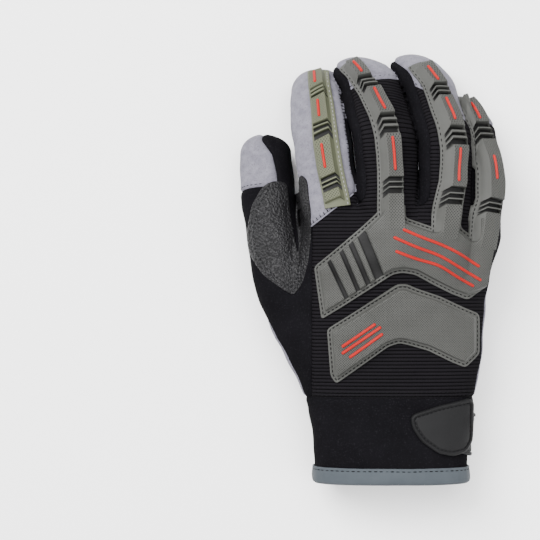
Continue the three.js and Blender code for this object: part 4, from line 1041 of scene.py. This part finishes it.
# The finger guards: strips with a stitched flange, blocks with sloping sides and thin ribs between the blocks, so
# that the fingers still bend. Those of the outer three fingers are moulded in one with the knuckle guard.
strip_rows = {
    # line is the blocks' middle: share of the finger's length, and degrees from its back to the right. blocks, ribs,
    # bars and ends are shares too. left and right are millimetres from the line to the top's edge, to its foot and
    # to the flange's edge. lean is how far ribs and block ends lie along the finger at the left foot, at the two
    # edges of the top and at the right foot.
    "index": dict(line=[(0.25, 6), (0.39, 3), (0.495, 3), (0.613, 5), (0.708, 6), (0.835, 4)], height=4.4,
                  left=(3.5, 4.2, 4.9), right=(4.7, 6.9, 9.6), lean=(-1.2, -0.9, 1.2, -1.5), ends=(0.205, 0.875),
                  blocks=[(0.233, 0.288), (0.348, 0.52), (0.583, 0.73), (0.755, 0.858)],
                  ribs=[0.31, 0.33, 0.542, 0.568, 0.737, 0.749],
                  bars=[(0.39, 0.495), (0.613, 0.708), (0.772, 0.835)]),
    "middle": dict(line=[(0.08, -15), (0.212, -13), (0.32, -11), (0.458, -12), (0.535, -16), (0.647, -23),
                         (0.728, -34), (0.78, -41)], height=5.5, left=(3.4, 6.7, 8.7), right=(4.6, 5.4, 6.2),
                   lean=(-3, 0, 0, -0.5), ends=(0.08, 0.805),
                   blocks=[(0.06, 0.228), (0.29, 0.473), (0.52, 0.662), (0.715, 0.792)],
                   ribs=[0.25, 0.272, 0.489, 0.506, 0.678, 0.695],
                   bars=[(0.32, 0.458), (0.535, 0.647), (0.728, 0.773)]),
    "ring": dict(line=[(0.08, -26), (0.2, -22), (0.3, -12), (0.432, -10), (0.505, -14), (0.605, -17), (0.688, -20),
                       (0.745, -30)], height=5.5, left=(3.4, 7, 9.3), right=(5.2, 7.2, 8.2), lean=(-3.2, 0, 0, -2.8),
                 ends=(0.08, 0.778), blocks=[(0.06, 0.212), (0.275, 0.445), (0.487, 0.623), (0.675, 0.765)],
                 ribs=[0.23, 0.253, 0.461, 0.476, 0.638, 0.659], bars=[(0.3, 0.432), (0.505, 0.605), (0.688, 0.743)]),
    "little": dict(line=[(0.13, -30), (0.29, -27), (0.367, -20), (0.458, -22), (0.542, -26), (0.66, -30),
                         (0.728, -36), (0.79, -38)], height=5.5, left=(3.8, 7.6, 9.6), right=(5.4, 7.4, 8.4),
                   lean=(-3.4, 0, 0, -2.4), ends=(0.13, 0.83), blocks=[(0.1, 0.305), (0.367, 0.638), (0.713, 0.818)],
                   ribs=[0.322, 0.347, 0.66, 0.69], bars=[(0.458, 0.542), (0.728, 0.79)]),
}


def on_strip(finger, row, side, s, level):
    """Points beside a finger guard's middle line, level off the skin. The line follows the finger's ellipse; side is
    measured along the ellipse's tangent there, and the points lie where the skin's distance is level along its
    normal."""
    share, degrees = np.array(row["line"]).T
    angle = np.radians(np.interp(s / finger["length"], share, degrees))[:, None]
    place, along, up, wide, deep = frame_at(finger, s)
    across, wide, deep = finger["line"]["across"], wide[:, None], deep[:, None]
    base = place + wide * np.sin(angle) * across + deep * np.cos(angle) * up
    tangent = wide * np.cos(angle) * across - deep * np.sin(angle) * up
    tangent /= np.linalg.norm(tangent, axis=1, keepdims=True)
    normal = np.cross(tangent, along)
    base = base + side[:, None] * tangent
    height = level - side**2 / 29
    for _ in range(5):
        points = base + height[:, None] * normal
        gap = skin_distance(points) - level
        slope = (skin_distance(points + 0.1 * normal) - level - gap) / 0.1
        height = height - np.clip(gap / np.maximum(slope, 0.5), -0.8, 0.8)
    return base + height[:, None] * normal


def spaced(marks, step):
    """Places through all the marks, at most step apart."""
    marks = np.unique(np.round(marks, 3))
    parts = [np.linspace(low, high, max(math.ceil((high - low) / step), 1) + 1)[:-1]
             for low, high in zip(marks[:-1], marks[1:])]
    return np.append(np.concatenate(parts), marks[-1])


def narrowing(share):
    """Guards get narrower by a sixth towards the fingertip."""
    return np.interp(share, [0.5, 0.8], [1, 0.84])


rib_top, rib_foot = 0.36, 0.62  # half of a thin rib's thickness at its top and at its foot
for name, row in strip_rows.items():
    finger = fingers[name]
    length = finger["length"]
    (left, left_foot, left_edge), (right, right_foot, right_edge) = row["left"], row["right"]
    tall = row["height"] - flange
    sides = spaced([-left_edge, -left_edge + 0.3, -left_foot, -left - 0.3, -left, 0, right, right + 0.3, right_foot,
                    right_edge - 0.25, right_edge], 0.6)
    marks = [row["ends"][0] * length, row["ends"][1] * length]
    for low, high in row["blocks"]:
        marks += [low * length, low * length + 0.7, low * length + 1, high * length - 1, high * length - 0.7,
                  high * length]
    for rib in row["ribs"]:
        marks += [rib * length - rib_foot, rib * length - rib_top, rib * length + rib_top, rib * length + rib_foot]
    runs = spaced([mark for mark in marks if marks[0] <= mark <= marks[1]], 0.8)
    side, run = (part.ravel() for part in np.meshgrid(sides, runs, indexing="ij"))
    index = np.arange(len(side)).reshape(len(sides), len(runs))
    a, b, c, d = (part.ravel() for part in (index[:-1, :-1], index[1:, :-1], index[1:, 1:], index[:-1, 1:]))
    sheet = dict(triangles=np.vstack([np.column_stack([a, b, c]), np.column_stack([a, c, d])]))
    profile = steps(side, [-left_foot, -left - 0.3, -left, right, right + 0.3, right_foot], [0, 0.93, 1, 1, 0.93, 0])
    block = np.max([steps(np.minimum(run - low * length, high * length - run), [0, 0.7, 1], [0, 0.92, 1])
                    for low, high in row["blocks"]], axis=0)
    rib = np.max([steps(np.abs(run - rib * length), [rib_top, rib_foot], [0.93, 0]) for rib in row["ribs"]],
                 axis=0)
    rim = np.minimum(side + left_edge, right_edge - side)
    level = flange - 0.3 * (rim < 0.2) + tall * np.minimum(profile, np.maximum(block, rib))
    level += np.where(block * profile > 0.9, side**2 / 42, 0)
    lean = np.interp(side, [-left_foot, -left, right, right_foot], row["lean"])
    s = run + lean * soft_step((run - marks[0]) / 4) * soft_step((marks[1] - run) / 4)
    points = on_strip(finger, row, side * narrowing(s / length), s, level)
    top = (np.minimum(profile, block) > 0.95).astype(float)
    within = (run > row["blocks"][0][0] * length) & (run < row["blocks"][-1][1] * length)
    # gap marks the floors between blocks and ribs, which the rubber darkens as painted shade.
    gap = ((profile > 0.2) & (np.maximum(block, rib) < 0.5) & within).astype(float)
    grid = np.column_stack([side, s, np.zeros(len(s))]) * 0.85
    finish, slot = (olive_rubber, "olive_rubber") if name == "index" else (guard_rubber, "guard_rubber")
    nodes = ["index_guard"] if name == "index" else ["knuckle_guard"]
    add_raised(name + "_guard", sheet, points, level, finish, nodes, vectors={"grid": grid},
               masks={"top": top, "gap": gap}, crease=30)

# The red bars are ribs of a second rubber, cast on the tops of the guards: half round, with round ends, and a little
# thinner on the fingers than on the hand.
bar_width, finger_bar_width, bar_height = 1.7, 1.6, 1.0


def rounded_bar(line, upward, width, height):
    """A bar along a line of points with a half-round section and round ends, its foot a little under the line."""
    count = len(line)
    along = np.gradient(line, axis=0)
    along /= np.linalg.norm(along, axis=1, keepdims=True)
    across = np.cross(along, upward)
    across /= np.linalg.norm(across, axis=1, keepdims=True)
    run = np.concatenate([[0], np.cumsum(np.linalg.norm(np.diff(line, axis=0), axis=1))])
    end = np.minimum(run, run[-1] - run) / (width / 2)
    size = np.sqrt(np.maximum(1 - np.maximum(1 - end, 0) ** 2, 0.02))
    angles = np.linspace(0, 2 * math.pi, 12, endpoint=False)
    points = (line[:, None] + across[:, None] * (np.cos(angles) * width / 2)[None, :, None] * size[:, None, None]
              + upward[:, None] * (np.sin(angles) * height)[None, :, None] * size[:, None, None])
    index = np.arange(count * 12).reshape(count, 12)
    turn = np.roll(index, -1, axis=1)
    quads = np.stack([index[:-1], turn[:-1], turn[1:], index[1:]], axis=-1).reshape(-1, 4)
    ends = np.vstack([np.column_stack([np.full(10, index[0, 0]), index[0, 2:], index[0, 1:-1]]),
                      np.column_stack([np.full(10, index[-1, 0]), index[-1, 1:-1], index[-1, 2:]])])
    return points.reshape(-1, 3), [ends, quads]


def bar_run(line, width):
    """A line's places close together, closest at its two ends."""
    run = np.concatenate([[0], np.cumsum(np.linalg.norm(np.diff(line, axis=0), axis=1))])
    near = width / 2 * np.array([0, 0.08, 0.25, 0.5, 0.75, 1])
    count = max(int(run[-1] / 1.2), 4)
    at = np.concatenate([near, np.linspace(width, run[-1] - width, count), run[-1] - near[::-1]])
    return np.stack([np.interp(at, run, line[:, i]) for i in range(line.shape[1])], axis=1)


knuckle_bars = [[(0.05, 0.87), (0.15, 0.83), (0.27, 0.79), (0.38, 0.74), (0.48, 0.68)],
                [(0, 0.83), (0.12, 0.78), (0.25, 0.74), (0.36, 0.68), (0.49, 0.61)],
                [(0.01, 0.76), (0.12, 0.72), (0.25, 0.69), (0.35, 0.63), (0.45, 0.58)]]
plate_bars = [[(-0.09, 0.39), (-0.27, 0.27)], [(-0.06, 0.375), (-0.27, 0.235)], [(-0.05, 0.34), (-0.23, 0.215)]]
for family, rows in (("knuckle_bar_", knuckle_bars), ("plate_bar_", plate_bars)):
    for i, row in enumerate(rows):
        spots = bar_run(rounded(on_hand(row), 6, closed=False), bar_width)
        line = drape(spots, guard_height - 0.1)
        points, faces = rounded_bar(line, skin_normal(line), bar_width, bar_height)
        add_piece(f"{family}{i + 1}", points, faces, red_rubber, [f"{family}{i + 1}"])
for name, row in strip_rows.items():
    finger = fingers[name]
    for i, (low, high) in enumerate(row["bars"]):
        s = bar_run(np.array([[0.0, low * finger["length"]], [0.0, high * finger["length"]]]), finger_bar_width)[:, 1]
        line = on_strip(finger, row, np.zeros(len(s)), s, np.full(len(s), row["height"] - 0.1))
        points, faces = rounded_bar(line, skin_normal(line), finger_bar_width, bar_height)
        add_piece(f"{name}_bar_{i + 1}", points, faces, red_rubber, [f"{name}_bar_{i + 1}"])

# The saddle patch: pebbled black leather laid over the crotch of the thumb and up the side of the index finger, and
# sewn down by two rows of stitches. Its notch lets the thumb move.
pebble_group, pebble_in, pebble_out = start_group("leather_pebbles", {"Position": (0.0, 0.0, 0.0), "Cell": 900.0},
                                                  ["Height", "CreaseShade"])
pebble = add_node(pebble_group, "TexVoronoi", {"Vector": pebble_in["Position"], "Scale": pebble_in["Cell"]},
                  feature="SMOOTH_F1").outputs["Distance"]
pebble_group.links.new(reckon(pebble_group, "SUBTRACT", 1.0, pebble), pebble_out["Height"])
# The second output marks the creases between pebbles, which the leather darkens as painted shade and roughens.
pebble_group.links.new(add_node(pebble_group, "MapRange", {"Value": pebble, "From Min": 0.45, "From Max": 0.75},
                                interpolation_type="SMOOTHSTEP").outputs[0], pebble_out["CreaseShade"])
pebbled_leather, tree, shader = start_finish("pebbled_leather", (0.01, 0.0097, 0.0103), 0.5, specular=0.2)
pebbles = use_group(tree, pebble_group, Position=place_of(tree), Cell=950.0)
nap = use_group(tree, nap_group, Position=place_of(tree), Patch=90.0, Grain=1800.0)
base = blend_colours(tree, nap["Mottle"], (0.004, 0.0039, 0.0045), (0.0078, 0.0076, 0.0085))
# Painted shade: the creases between pebbles are darkened.
tree.links.new(blend_colours(tree, reckon(tree, "MULTIPLY", pebbles["CreaseShade"], 0.6), base, (0.002, 0.002, 0.002)),
               shader.inputs["Base Color"])
tree.links.new(reckon(tree, "MULTIPLY_ADD", pebbles["CreaseShade"], 0.3, 0.5), shader.inputs["Roughness"])
set_bump(tree, shader, pebbles["Height"], 1.0, 0.0009)


def add_patch(name, outline, step, rows, level, finish, nodes, side=1, lines=(0.3, 0.8, 2.2, 4.0)):
    """A sewn-on patch, cut along the lines at which its height over the skin changes."""
    sheet = flat_sheet(outline.min(axis=0) - 1, outline.max(axis=0) + 1, step)
    sheet["inside"] = inside_distance(sheet["spot"], outline)
    sheet = trim(sheet, "inside")
    for line in lines:
        sheet = split_along(sheet, sheet["inside"] - line)
    height = level(sheet)
    points = drape(sheet["spot"], height, side)
    if side < 0:
        sheet["triangles"] = sheet["triangles"][:, ::-1]
    knit = np.column_stack([sheet["spot"], np.zeros(len(points))])
    piece = add_raised(name, sheet, points, height, finish, nodes, vectors={"knit": knit},
                       masks={"inside": sheet["inside"]}, crease=50)
    stitches = [stitch_row(inner_line(outline, far), 2.3, level(dict(inside=np.array([far]), spot=outline[:1]))[0]
                           + 0.02, side) for far in rows]
    add_thread(name + "_thread", stitches, 1.55, 0.5, black_thread)
    return piece


saddle_outline = rounded(on_hand([
    (-0.64, 1.13), (-0.7, 1.1), (-0.76, 1), (-0.79, 0.85), (-0.77, 0.74), (-0.7, 0.64), (-0.6, 0.57), (-0.53, 0.53),
    (-0.48, 0.6), (-0.45, 0.71), (-0.44, 0.82), (-0.44, 0.95), (-0.46, 1.13), (-0.5, 1.16), (-0.512, 0.95),
    (-0.498, 0.7), (-0.545, 0.95), (-0.565, 1.12)]), 3.0)


def saddle_level(sheet):
    return steps(sheet["inside"], [0, 0.3, 1.2, 1.7, 2.2, 4], [0.75, 1.05, 1.0, 0.8, 1.0, 1.25])


saddle = add_patch("thumb_saddle", saddle_outline, 0.9, (1.7, 3.6), saddle_level, pebbled_leather,
                   ["thumb_saddle"])

# The palm's two pads: dark ribbed gripping cloth over foam, sewn down by two rows of stitches near the edge. One more
# row across the lower pad makes the fold that the palm bends on.
ribbed_pad, tree, shader = start_finish("ribbed_pad", (0.016, 0.016, 0.0168), 0.8, specular=0.15)
knit = add_node(tree, "Attribute", attribute_name="knit").outputs["Vector"]
ribs = use_group(tree, rib_group, Knit=knit, Pitch=1.15)
nap = use_group(tree, nap_group, Position=place_of(tree), Patch=60.0, Grain=2000.0)
base = blend_colours(tree, nap["Mottle"], (0.013, 0.013, 0.0137), (0.023, 0.023, 0.024))
# Painted shade: the valleys between the pad's ribs are darkened.
tree.links.new(blend_colours(tree, reckon(tree, "MULTIPLY", ribs["ValleyShade"], 0.6), base, (0.006, 0.006, 0.0063)),
               shader.inputs["Base Color"])
set_bump(tree, shader, reckon(tree, "MULTIPLY_ADD", nap["Height"], 0.4, ribs["Height"]), 0.7, 0.0003)
upper_pad = rounded(on_hand([
    (0.43, 1.02), (0.4, 1.08), (0.3, 1.11), (0.25, 1.06), (0.25, 0.91), (0.22, 0.89), (0.19, 0.92), (0.18, 1.12),
    (0.15, 1.2), (0.11, 1.19), (0.1, 1.06), (0.06, 1), (0.03, 1.04), (0.01, 1.16), (-0.04, 1.24), (-0.1, 1.22),
    (-0.13, 1.1), (-0.18, 1), (-0.21, 1.03), (-0.24, 1.16), (-0.3, 1.22), (-0.4, 1.22), (-0.42, 0.81), (-0.29, 0.78),
    (-0.05, 0.73), (0.07, 0.71), (0.12, 0.63), (0.15, 0.55), (0.21, 0.53), (0.31, 0.57), (0.41, 0.65),
    (0.44, 0.75)]), 3.0)
lower_pad = rounded(on_hand([
    (0.39, 0.52), (0.32, 0.55), (0.2, 0.49), (0.14, 0.49), (0.11, 0.62), (0.05, 0.67), (-0.2, 0.73), (-0.27, 0.72),
    (-0.4, 0.59), (-0.36, 0.46), (-0.35, 0.36), (-0.38, 0.21), (-0.38, 0.14), (-0.33, 0.08), (-0.11, 0.08),
    (0.12, 0.11), (0.3, 0.15), (0.36, 0.25), (0.39, 0.36)]), 3.0)
pad_seam = on_hand([(0.42, 0.35), (0.24, 0.355), (0.12, 0.375), (0.0, 0.41), (-0.17, 0.44), (-0.37, 0.45)])


def pad_level(sheet):
    """Flat where the stitches hold the edge down, and swelling over the foam inside them."""
    level = steps(sheet["inside"], [0, 0.3, 0.9, 1.2, 1.5, 2.6, 3.0, 3.4, 5.5, 9], [0.6, 0.95, 1.05, 0.85, 1.1, 1.1,
                                                                                     0.9, 1.3, 2.3, 2.7])
    if "seam" in sheet:
        level = level - 1.0 * np.exp(-((sheet["seam"] / 1.6) ** 2))
    return level


for name, outline, seam in (("palm_pad_upper", upper_pad, None), ("palm_pad_lower", lower_pad, pad_seam)):
    def level_of(sheet, seam=seam):
        if seam is None or len(sheet["inside"]) < 2:
            return pad_level(sheet)
        return pad_level(dict(sheet, seam=line_distance(sheet["spot"], seam)))

    pad = add_patch(name, outline, 0.95, (1.2, 3.0), level_of, ribbed_pad, [name], side=-1,
                    lines=(0.3, 0.9, 1.5, 2.6, 3.4, 5.5))
add_thread("palm_pad_seam", [stitch_row(pad_seam[1:-1], 2.3, 1.75, side=-1)], 1.6, 0.5, black_thread)

# The hem's binding: woven blue-grey tape, folded over the cuff's raw edge and sewn through with one row of dark
# stitches near its upper edge.
tape_group, tape_in, tape_out = start_group("tape_weave", {"Position": (0.0, 0.0, 0.0)}, ["Height"])
tape_xyz = add_node(tape_group, "SeparateXYZ", {0: tape_in["Position"]}).outputs
weave = [reckon(tape_group, "SINE", reckon(tape_group, "MULTIPLY", tape_xyz[key], 2 * math.pi / 0.0009))
         for key in ("X", "Y")]
tape_group.links.new(reckon(tape_group, "MULTIPLY", weave[0], weave[1]), tape_out["Height"])
binding_tape, tree, shader = start_finish("binding_tape", (0.06, 0.075, 0.088), 0.8, sheen=0.04, specular=0.12)
place = place_of(tree)
tape = use_group(tree, tape_group, Position=place)
nap = use_group(tree, nap_group, Position=place, Patch=80.0, Grain=2200.0)
tree.links.new(blend_colours(tree, nap["Mottle"], (0.03, 0.036, 0.042), (0.048, 0.056, 0.064)),
               shader.inputs["Base Color"])
set_bump(tree, shader, reckon(tree, "MULTIPLY_ADD", tape["Height"], 0.3, nap["Height"]), 0.5, 0.0003)


def cuff_ring(count):
    """Places round the cuff by the share of its girth, from its right side over the back: a superellipse."""
    turn = np.linspace(0, 2 * math.pi, 2001)
    corner = lambda value: np.sign(value) * np.abs(value) ** (2 / section_power)
    left, right, centre, half = stations[2, 1:5]
    section = np.column_stack([(left + right) / 2 + (right - left) / 2 * corner(np.cos(turn)),
                               centre + half * corner(np.sin(turn))])
    run = np.concatenate([[0], np.cumsum(np.linalg.norm(np.diff(section, axis=0), axis=1))])
    at = np.asarray(count) * run[-1]
    return np.stack([np.interp(at, run, section[:, i]) for i in (0, 1)], axis=1), run[-1]


def on_cuff(share, y, level):
    """Points round the cuff at y, level off its skin."""
    section = cuff_ring(np.mod(share, 1))[0]
    points = np.column_stack([section[:, 0], y, section[:, 1]])
    for _ in range(3):
        points -= (skin_distance(points) - level)[:, None] * skin_normal(points)
    return points


girth = cuff_ring([0.5])[1]
# The tape's section: up the outside from the hem, over its edge and down the inside, y and height over the skin.
tape_section = np.array([
    (7.9, 0.15), (8.1, 0.7), (7.9, 1.15), (7.2, 1.25), (6.5, 1.05), (5.6, 1.35), (3, 1.55), (0.8, 1.5), (-0.7, 1.0),
    (-1.35, 0.0), (-1.4, -1.2), (-0.9, -2.3), (0.6, -3.0), (4, -3.1), (7.6, -2.9), (7.8, -2.3), (7.6, -2.0),
    (4, -2.1), (0.9, -2.0), (-0.1, -1.2), (-0.1, 0.1), (3, 0.15)])
shares = np.linspace(0, 1, 180, endpoint=False)
share, corner = (part.ravel() for part in np.meshgrid(shares, np.arange(len(tape_section)), indexing="ij"))
wave = 0.12 * np.sin(2 * math.pi * 31 * share) + 0.1 * np.sin(2 * math.pi * 19 * share + 1)
points = on_cuff(share, tape_section[corner, 0], tape_section[corner, 1] + wave * (tape_section[corner, 1] > 0.5))
index = np.arange(len(points)).reshape(len(shares), -1)
quads = np.stack([index, np.roll(index, -1, axis=0), np.roll(np.roll(index, -1, axis=0), -1, axis=1),
                  np.roll(index, -1, axis=1)], axis=-1).reshape(-1, 4)
hem = add_piece("hem_binding", points, quads, binding_tape, ["hem_binding"])
stitch_step, stitch_y, stitch_level = 3.1, 6.5, 1.12
count = int(girth / stitch_step)
middles = on_cuff((np.arange(count) + 0.5) / count, np.full(count, stitch_y), np.full(count, stitch_level))
following = np.roll(middles, -1, axis=0) - middles
add_thread("hem_thread", [(middles, following, skin_normal(middles))], 2.1, 0.55, black_thread)

# The slit in the cuff, on the palm side near the little finger, lets the hand in. The same tape binds its edge in an
# arch, sewn with one row of dark stitches.
vent_x, vent_length, vent_foot, arch_half = 31.7, 32.0, 9.0, 4.2
turn = np.linspace(0, math.pi, 15)
arch = np.vstack([[(vent_x + arch_half, vent_foot)],
                  np.column_stack([vent_x + arch_half * np.cos(turn), vent_length + 2 + arch_half * np.sin(turn)]),
                  [(vent_x - arch_half, vent_foot)]])
arch_run = even_places(arch, 1.5)[0]
line = drape(arch_run, 0.9, side=-1)
points, faces = rounded_bar(line, skin_normal(line), 4.3, 0.85)
vent = add_piece("vent_binding", points, faces, binding_tape, ["vent_binding"])
add_thread("vent_thread", [stitch_row(arch, 3.0, 1.72, side=-1)], 1.9, 0.5, black_thread)

# The wrist strap: a moulded band from the back of the cuff round to the palm, with a raised rim, chevron grooves and
# three slanting red bars in sockets of their own. Each row of points is a groove's line: millimetres round the cuff
# from its right side, below 0 under the palm, and y.
strap_low, strap_high, strap_end = 13.35, 38.35, -40.5
run_shares = np.linspace(-0.5, 0.5, 401)
section, girth = cuff_ring(run_shares % 1)
lower = run_shares < 0
start_run = girth * np.interp(-strap_end, -section[lower, 0][::-1], run_shares[lower][::-1])
upper = run_shares > 0
end_run = girth * np.interp(-30, -section[upper, 0], run_shares[upper])
strap_outline = rounded(np.array([
    (start_run, strap_low), (2, strap_low), (end_run, strap_low + 5), (end_run, strap_high),
    (start_run + 9, strap_high), (start_run + 1.5, strap_high - 9)]), 5.0)
sheet = flat_sheet(strap_outline.min(axis=0) - 1, strap_outline.max(axis=0) + 1, 0.9)
sheet["inside"] = inside_distance(sheet["spot"], strap_outline)
sheet = trim(sheet, "inside")
chevrons = [[(near, 37), (near, 32.5), (far, 20), (far, 15)]
            for near, far in ((-6.2, -11.5), (-11.5, -17), (-17, -22.3))]
chevrons += [[(near, 37), (near, 33), (near + 10, 20), (near + 10, 15)] for near in (-34, -39.2, -44.4, -49.6)]
strap_bars = [[(near, 35.2), (near, 33), (near + 6.6, 18.8), (near + 6.6, 16.6)] for near in (-81.9, -74.9, -67.9)]
chevrons, strap_bars = ([rounded(np.array(row, dtype=float), 3, closed=False) for row in rows]
                        for rows in (chevrons, strap_bars))
groove_half, socket_half = 0.55, 1.15
sheet["groove"] = np.max([groove_half - line_distance(sheet["spot"], row) for row in chevrons]
                         + [socket_half - line_distance(sheet["spot"], row) for row in strap_bars], axis=0)
for line in (0.4, 1.6, 2.2, 2.6):
    sheet = split_along(sheet, sheet["inside"] - line)
for line in (-0.15, 0.2):
    sheet = split_along(sheet, sheet["groove"] - line)
level = steps(sheet["inside"], [0, 0.4, 0.8, 1.6, 2.2, 2.6], [1.9, 2.6, 2.75, 2.75, 1.9, 2.3])
level = np.where(sheet["inside"] > 2.4, level - steps(sheet["groove"], [-0.15, 0.2], [0, 0.95]), level)
points = on_cuff(sheet["spot"][:, 0] / girth, sheet["spot"][:, 1], level)
gap = ((sheet["groove"] > 0.1) & (sheet["inside"] > 2.4)).astype(float)
add_raised("wrist_strap", sheet, points, level, strap_rubber, ["wrist_strap"], masks={"gap": gap},
           crease=30)
for i, row in enumerate(strap_bars):
    spots = bar_run(row, bar_width)
    line = on_cuff(spots[:, 0] / girth, spots[:, 1], np.full(len(spots), 1.6))
    points, faces = rounded_bar(line, skin_normal(line), bar_width, 1.1)
    add_piece(f"strap_bar_{i + 1}", points, faces, red_rubber, [f"strap_bar_{i + 1}"])

# The tab closes the strap on the back of the cuff. It is the same moulded rubber, with a plain bare face inside a
# rolled rim, and a row of stitches in the groove between them.
tab_outline = rounded(np.array([(47.6, 44.0), (45.5, 46.7), (27.6, 43.1), (13.7, 38.9), (10.9, 36.7), (12, 30.6),
                                (17, 23.3), (26.5, 16.6), (34.9, 14.7), (43.3, 16.6), (47.6, 22.5)]), 2.5)
sheet = flat_sheet(tab_outline.min(axis=0) - 1, tab_outline.max(axis=0) + 1, 0.7)
sheet["inside"] = inside_distance(sheet["spot"], tab_outline)
sheet = trim(sheet, "inside")
for line in (0.3, 0.9, 1.5, 2.1, 2.7, 3.1):
    sheet = split_along(sheet, sheet["inside"] - line)
level = 1.2 + steps(sheet["inside"], [0, 0.3, 0.9, 1.5, 2.1, 2.7, 3.1], [1.6, 2.3, 2.7, 2.4, 1.6, 1.7, 2.1])
points = drape(sheet["spot"], level)
add_raised("strap_tab", sheet, points, level, strap_rubber, ["strap_tab"], foot=1.2, crease=40)
add_thread("tab_thread", [stitch_row(inner_line(tab_outline, 2.35), 2.4, 2.85)], 1.7, 0.5, black_thread)

# The guards are sewn down through their flanges: dark thread sunk in the groove round the grey ones, and pale thread
# along the index guard.
guard_rows = [stitch_row(inner_line(outline, rim_line), 2.5, flange - 0.42)
              for outline in (knuckle_outline, plate_outline)]
index_rows = []
for name, row in strip_rows.items():
    finger = fingers[name]
    s = np.arange(row["ends"][0] * finger["length"] + 1, row["ends"][1] * finger["length"] - 1, 2.4)
    for edge in (-row["left"][2] + 1.0, row["right"][2] - 1.4):
        if name != "index" and edge > 0 or name == "index" and edge < 0:
            continue
        side = edge * narrowing(s / finger["length"])
        line = on_strip(finger, row, side, s, np.full(len(s), flange + 0.02))
        rows = index_rows if name == "index" else guard_rows
        rows.append((line, np.gradient(line, axis=0), skin_normal(line)))
add_thread("guard_thread", guard_rows, 1.7, 0.55, black_thread)
add_thread("index_thread", index_rows, 1.5, 0.5, pale_thread)

# Seams: two rows of black stitches across the wrist, a pale piped edge with black overcast stitches at the root of
# the index finger's suede and up its right side, and stitches behind each fingertip's cap.
wrist_line = np.column_stack([np.linspace(-44, 45, 90), np.full(90, cuff_length)])
palm_line = np.column_stack([np.linspace(-40, 41, 80), np.full(80, cuff_length)])
wrist_rows = [stitch_row(wrist_line + [0, offset], 2.4, 0.2) for offset in (1.6, 3.4)]
wrist_rows += [stitch_row(palm_line + [0, offset], 2.4, 0.2, side=-1) for offset in (2.2, -2.2)]
add_thread("wrist_thread", wrist_rows, 1.6, 0.42, black_thread)
line = drape(palm_line, 0.1, side=-1)
points, faces = rounded_bar(line, skin_normal(line), 1.3, 0.7)
add_piece("wrist_piping", points, faces, binding_tape)


def on_finger(finger, s, angle, level):
    """Points on a finger at lengths s and angles from its back, level off the skin."""
    place, along, up, wide, deep = frame_at(finger, s)
    normal = (np.sin(angle) / wide)[:, None] * finger["line"]["across"] + (np.cos(angle) / deep)[:, None] * up
    points = place + (wide * np.sin(angle))[:, None] * finger["line"]["across"] + (deep * np.cos(angle))[:, None] * up
    normal /= np.linalg.norm(normal, axis=1, keepdims=True)
    for _ in range(4):
        points = points - (skin_distance(points) - level)[:, None] * normal
    return points


index_line = drape(even_places(np.array([(-45.0, 142.4), (-20.5, 161.3)]), 0.8)[0], 0.15)
points, faces = rounded_bar(index_line, skin_normal(index_line), 0.9, 0.55)
add_piece("index_piping", points, faces, suede)
middles, along, upward = stitch_row(index_line[2:-2, :2] + [-0.75, 0.95], 2.3, 0.25)
overcast = [(middles, np.cross(upward, along), upward)]
s = np.arange(0.36 * fingers["index"]["length"], 0.8 * fingers["index"]["length"], 2.3)
line = on_finger(fingers["index"], s, np.full(len(s), math.radians(60)), 0.2)
overcast.append((line, np.cross(skin_normal(line), np.gradient(line, axis=0)), skin_normal(line)))
add_thread("index_overcast", overcast, 2.3, 0.5, black_thread)
cap_rows = []
for name, (share, slant) in cap_seams.items():
    length = fingers[name]["length"]
    turn = np.radians(np.arange(-62, 63, 10.5))
    line = on_finger(fingers[name], (share + slant * turn) * length + 1.5, turn, 0.15)
    cap_rows.append((line, np.gradient(line, axis=0), skin_normal(line)))
add_thread("cap_thread", cap_rows, 1.6, 0.42, black_thread)

model_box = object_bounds()
({"cad": [list(corner) for corner in cad_box],
           "visual": [list(corner) for corner in model_box]})
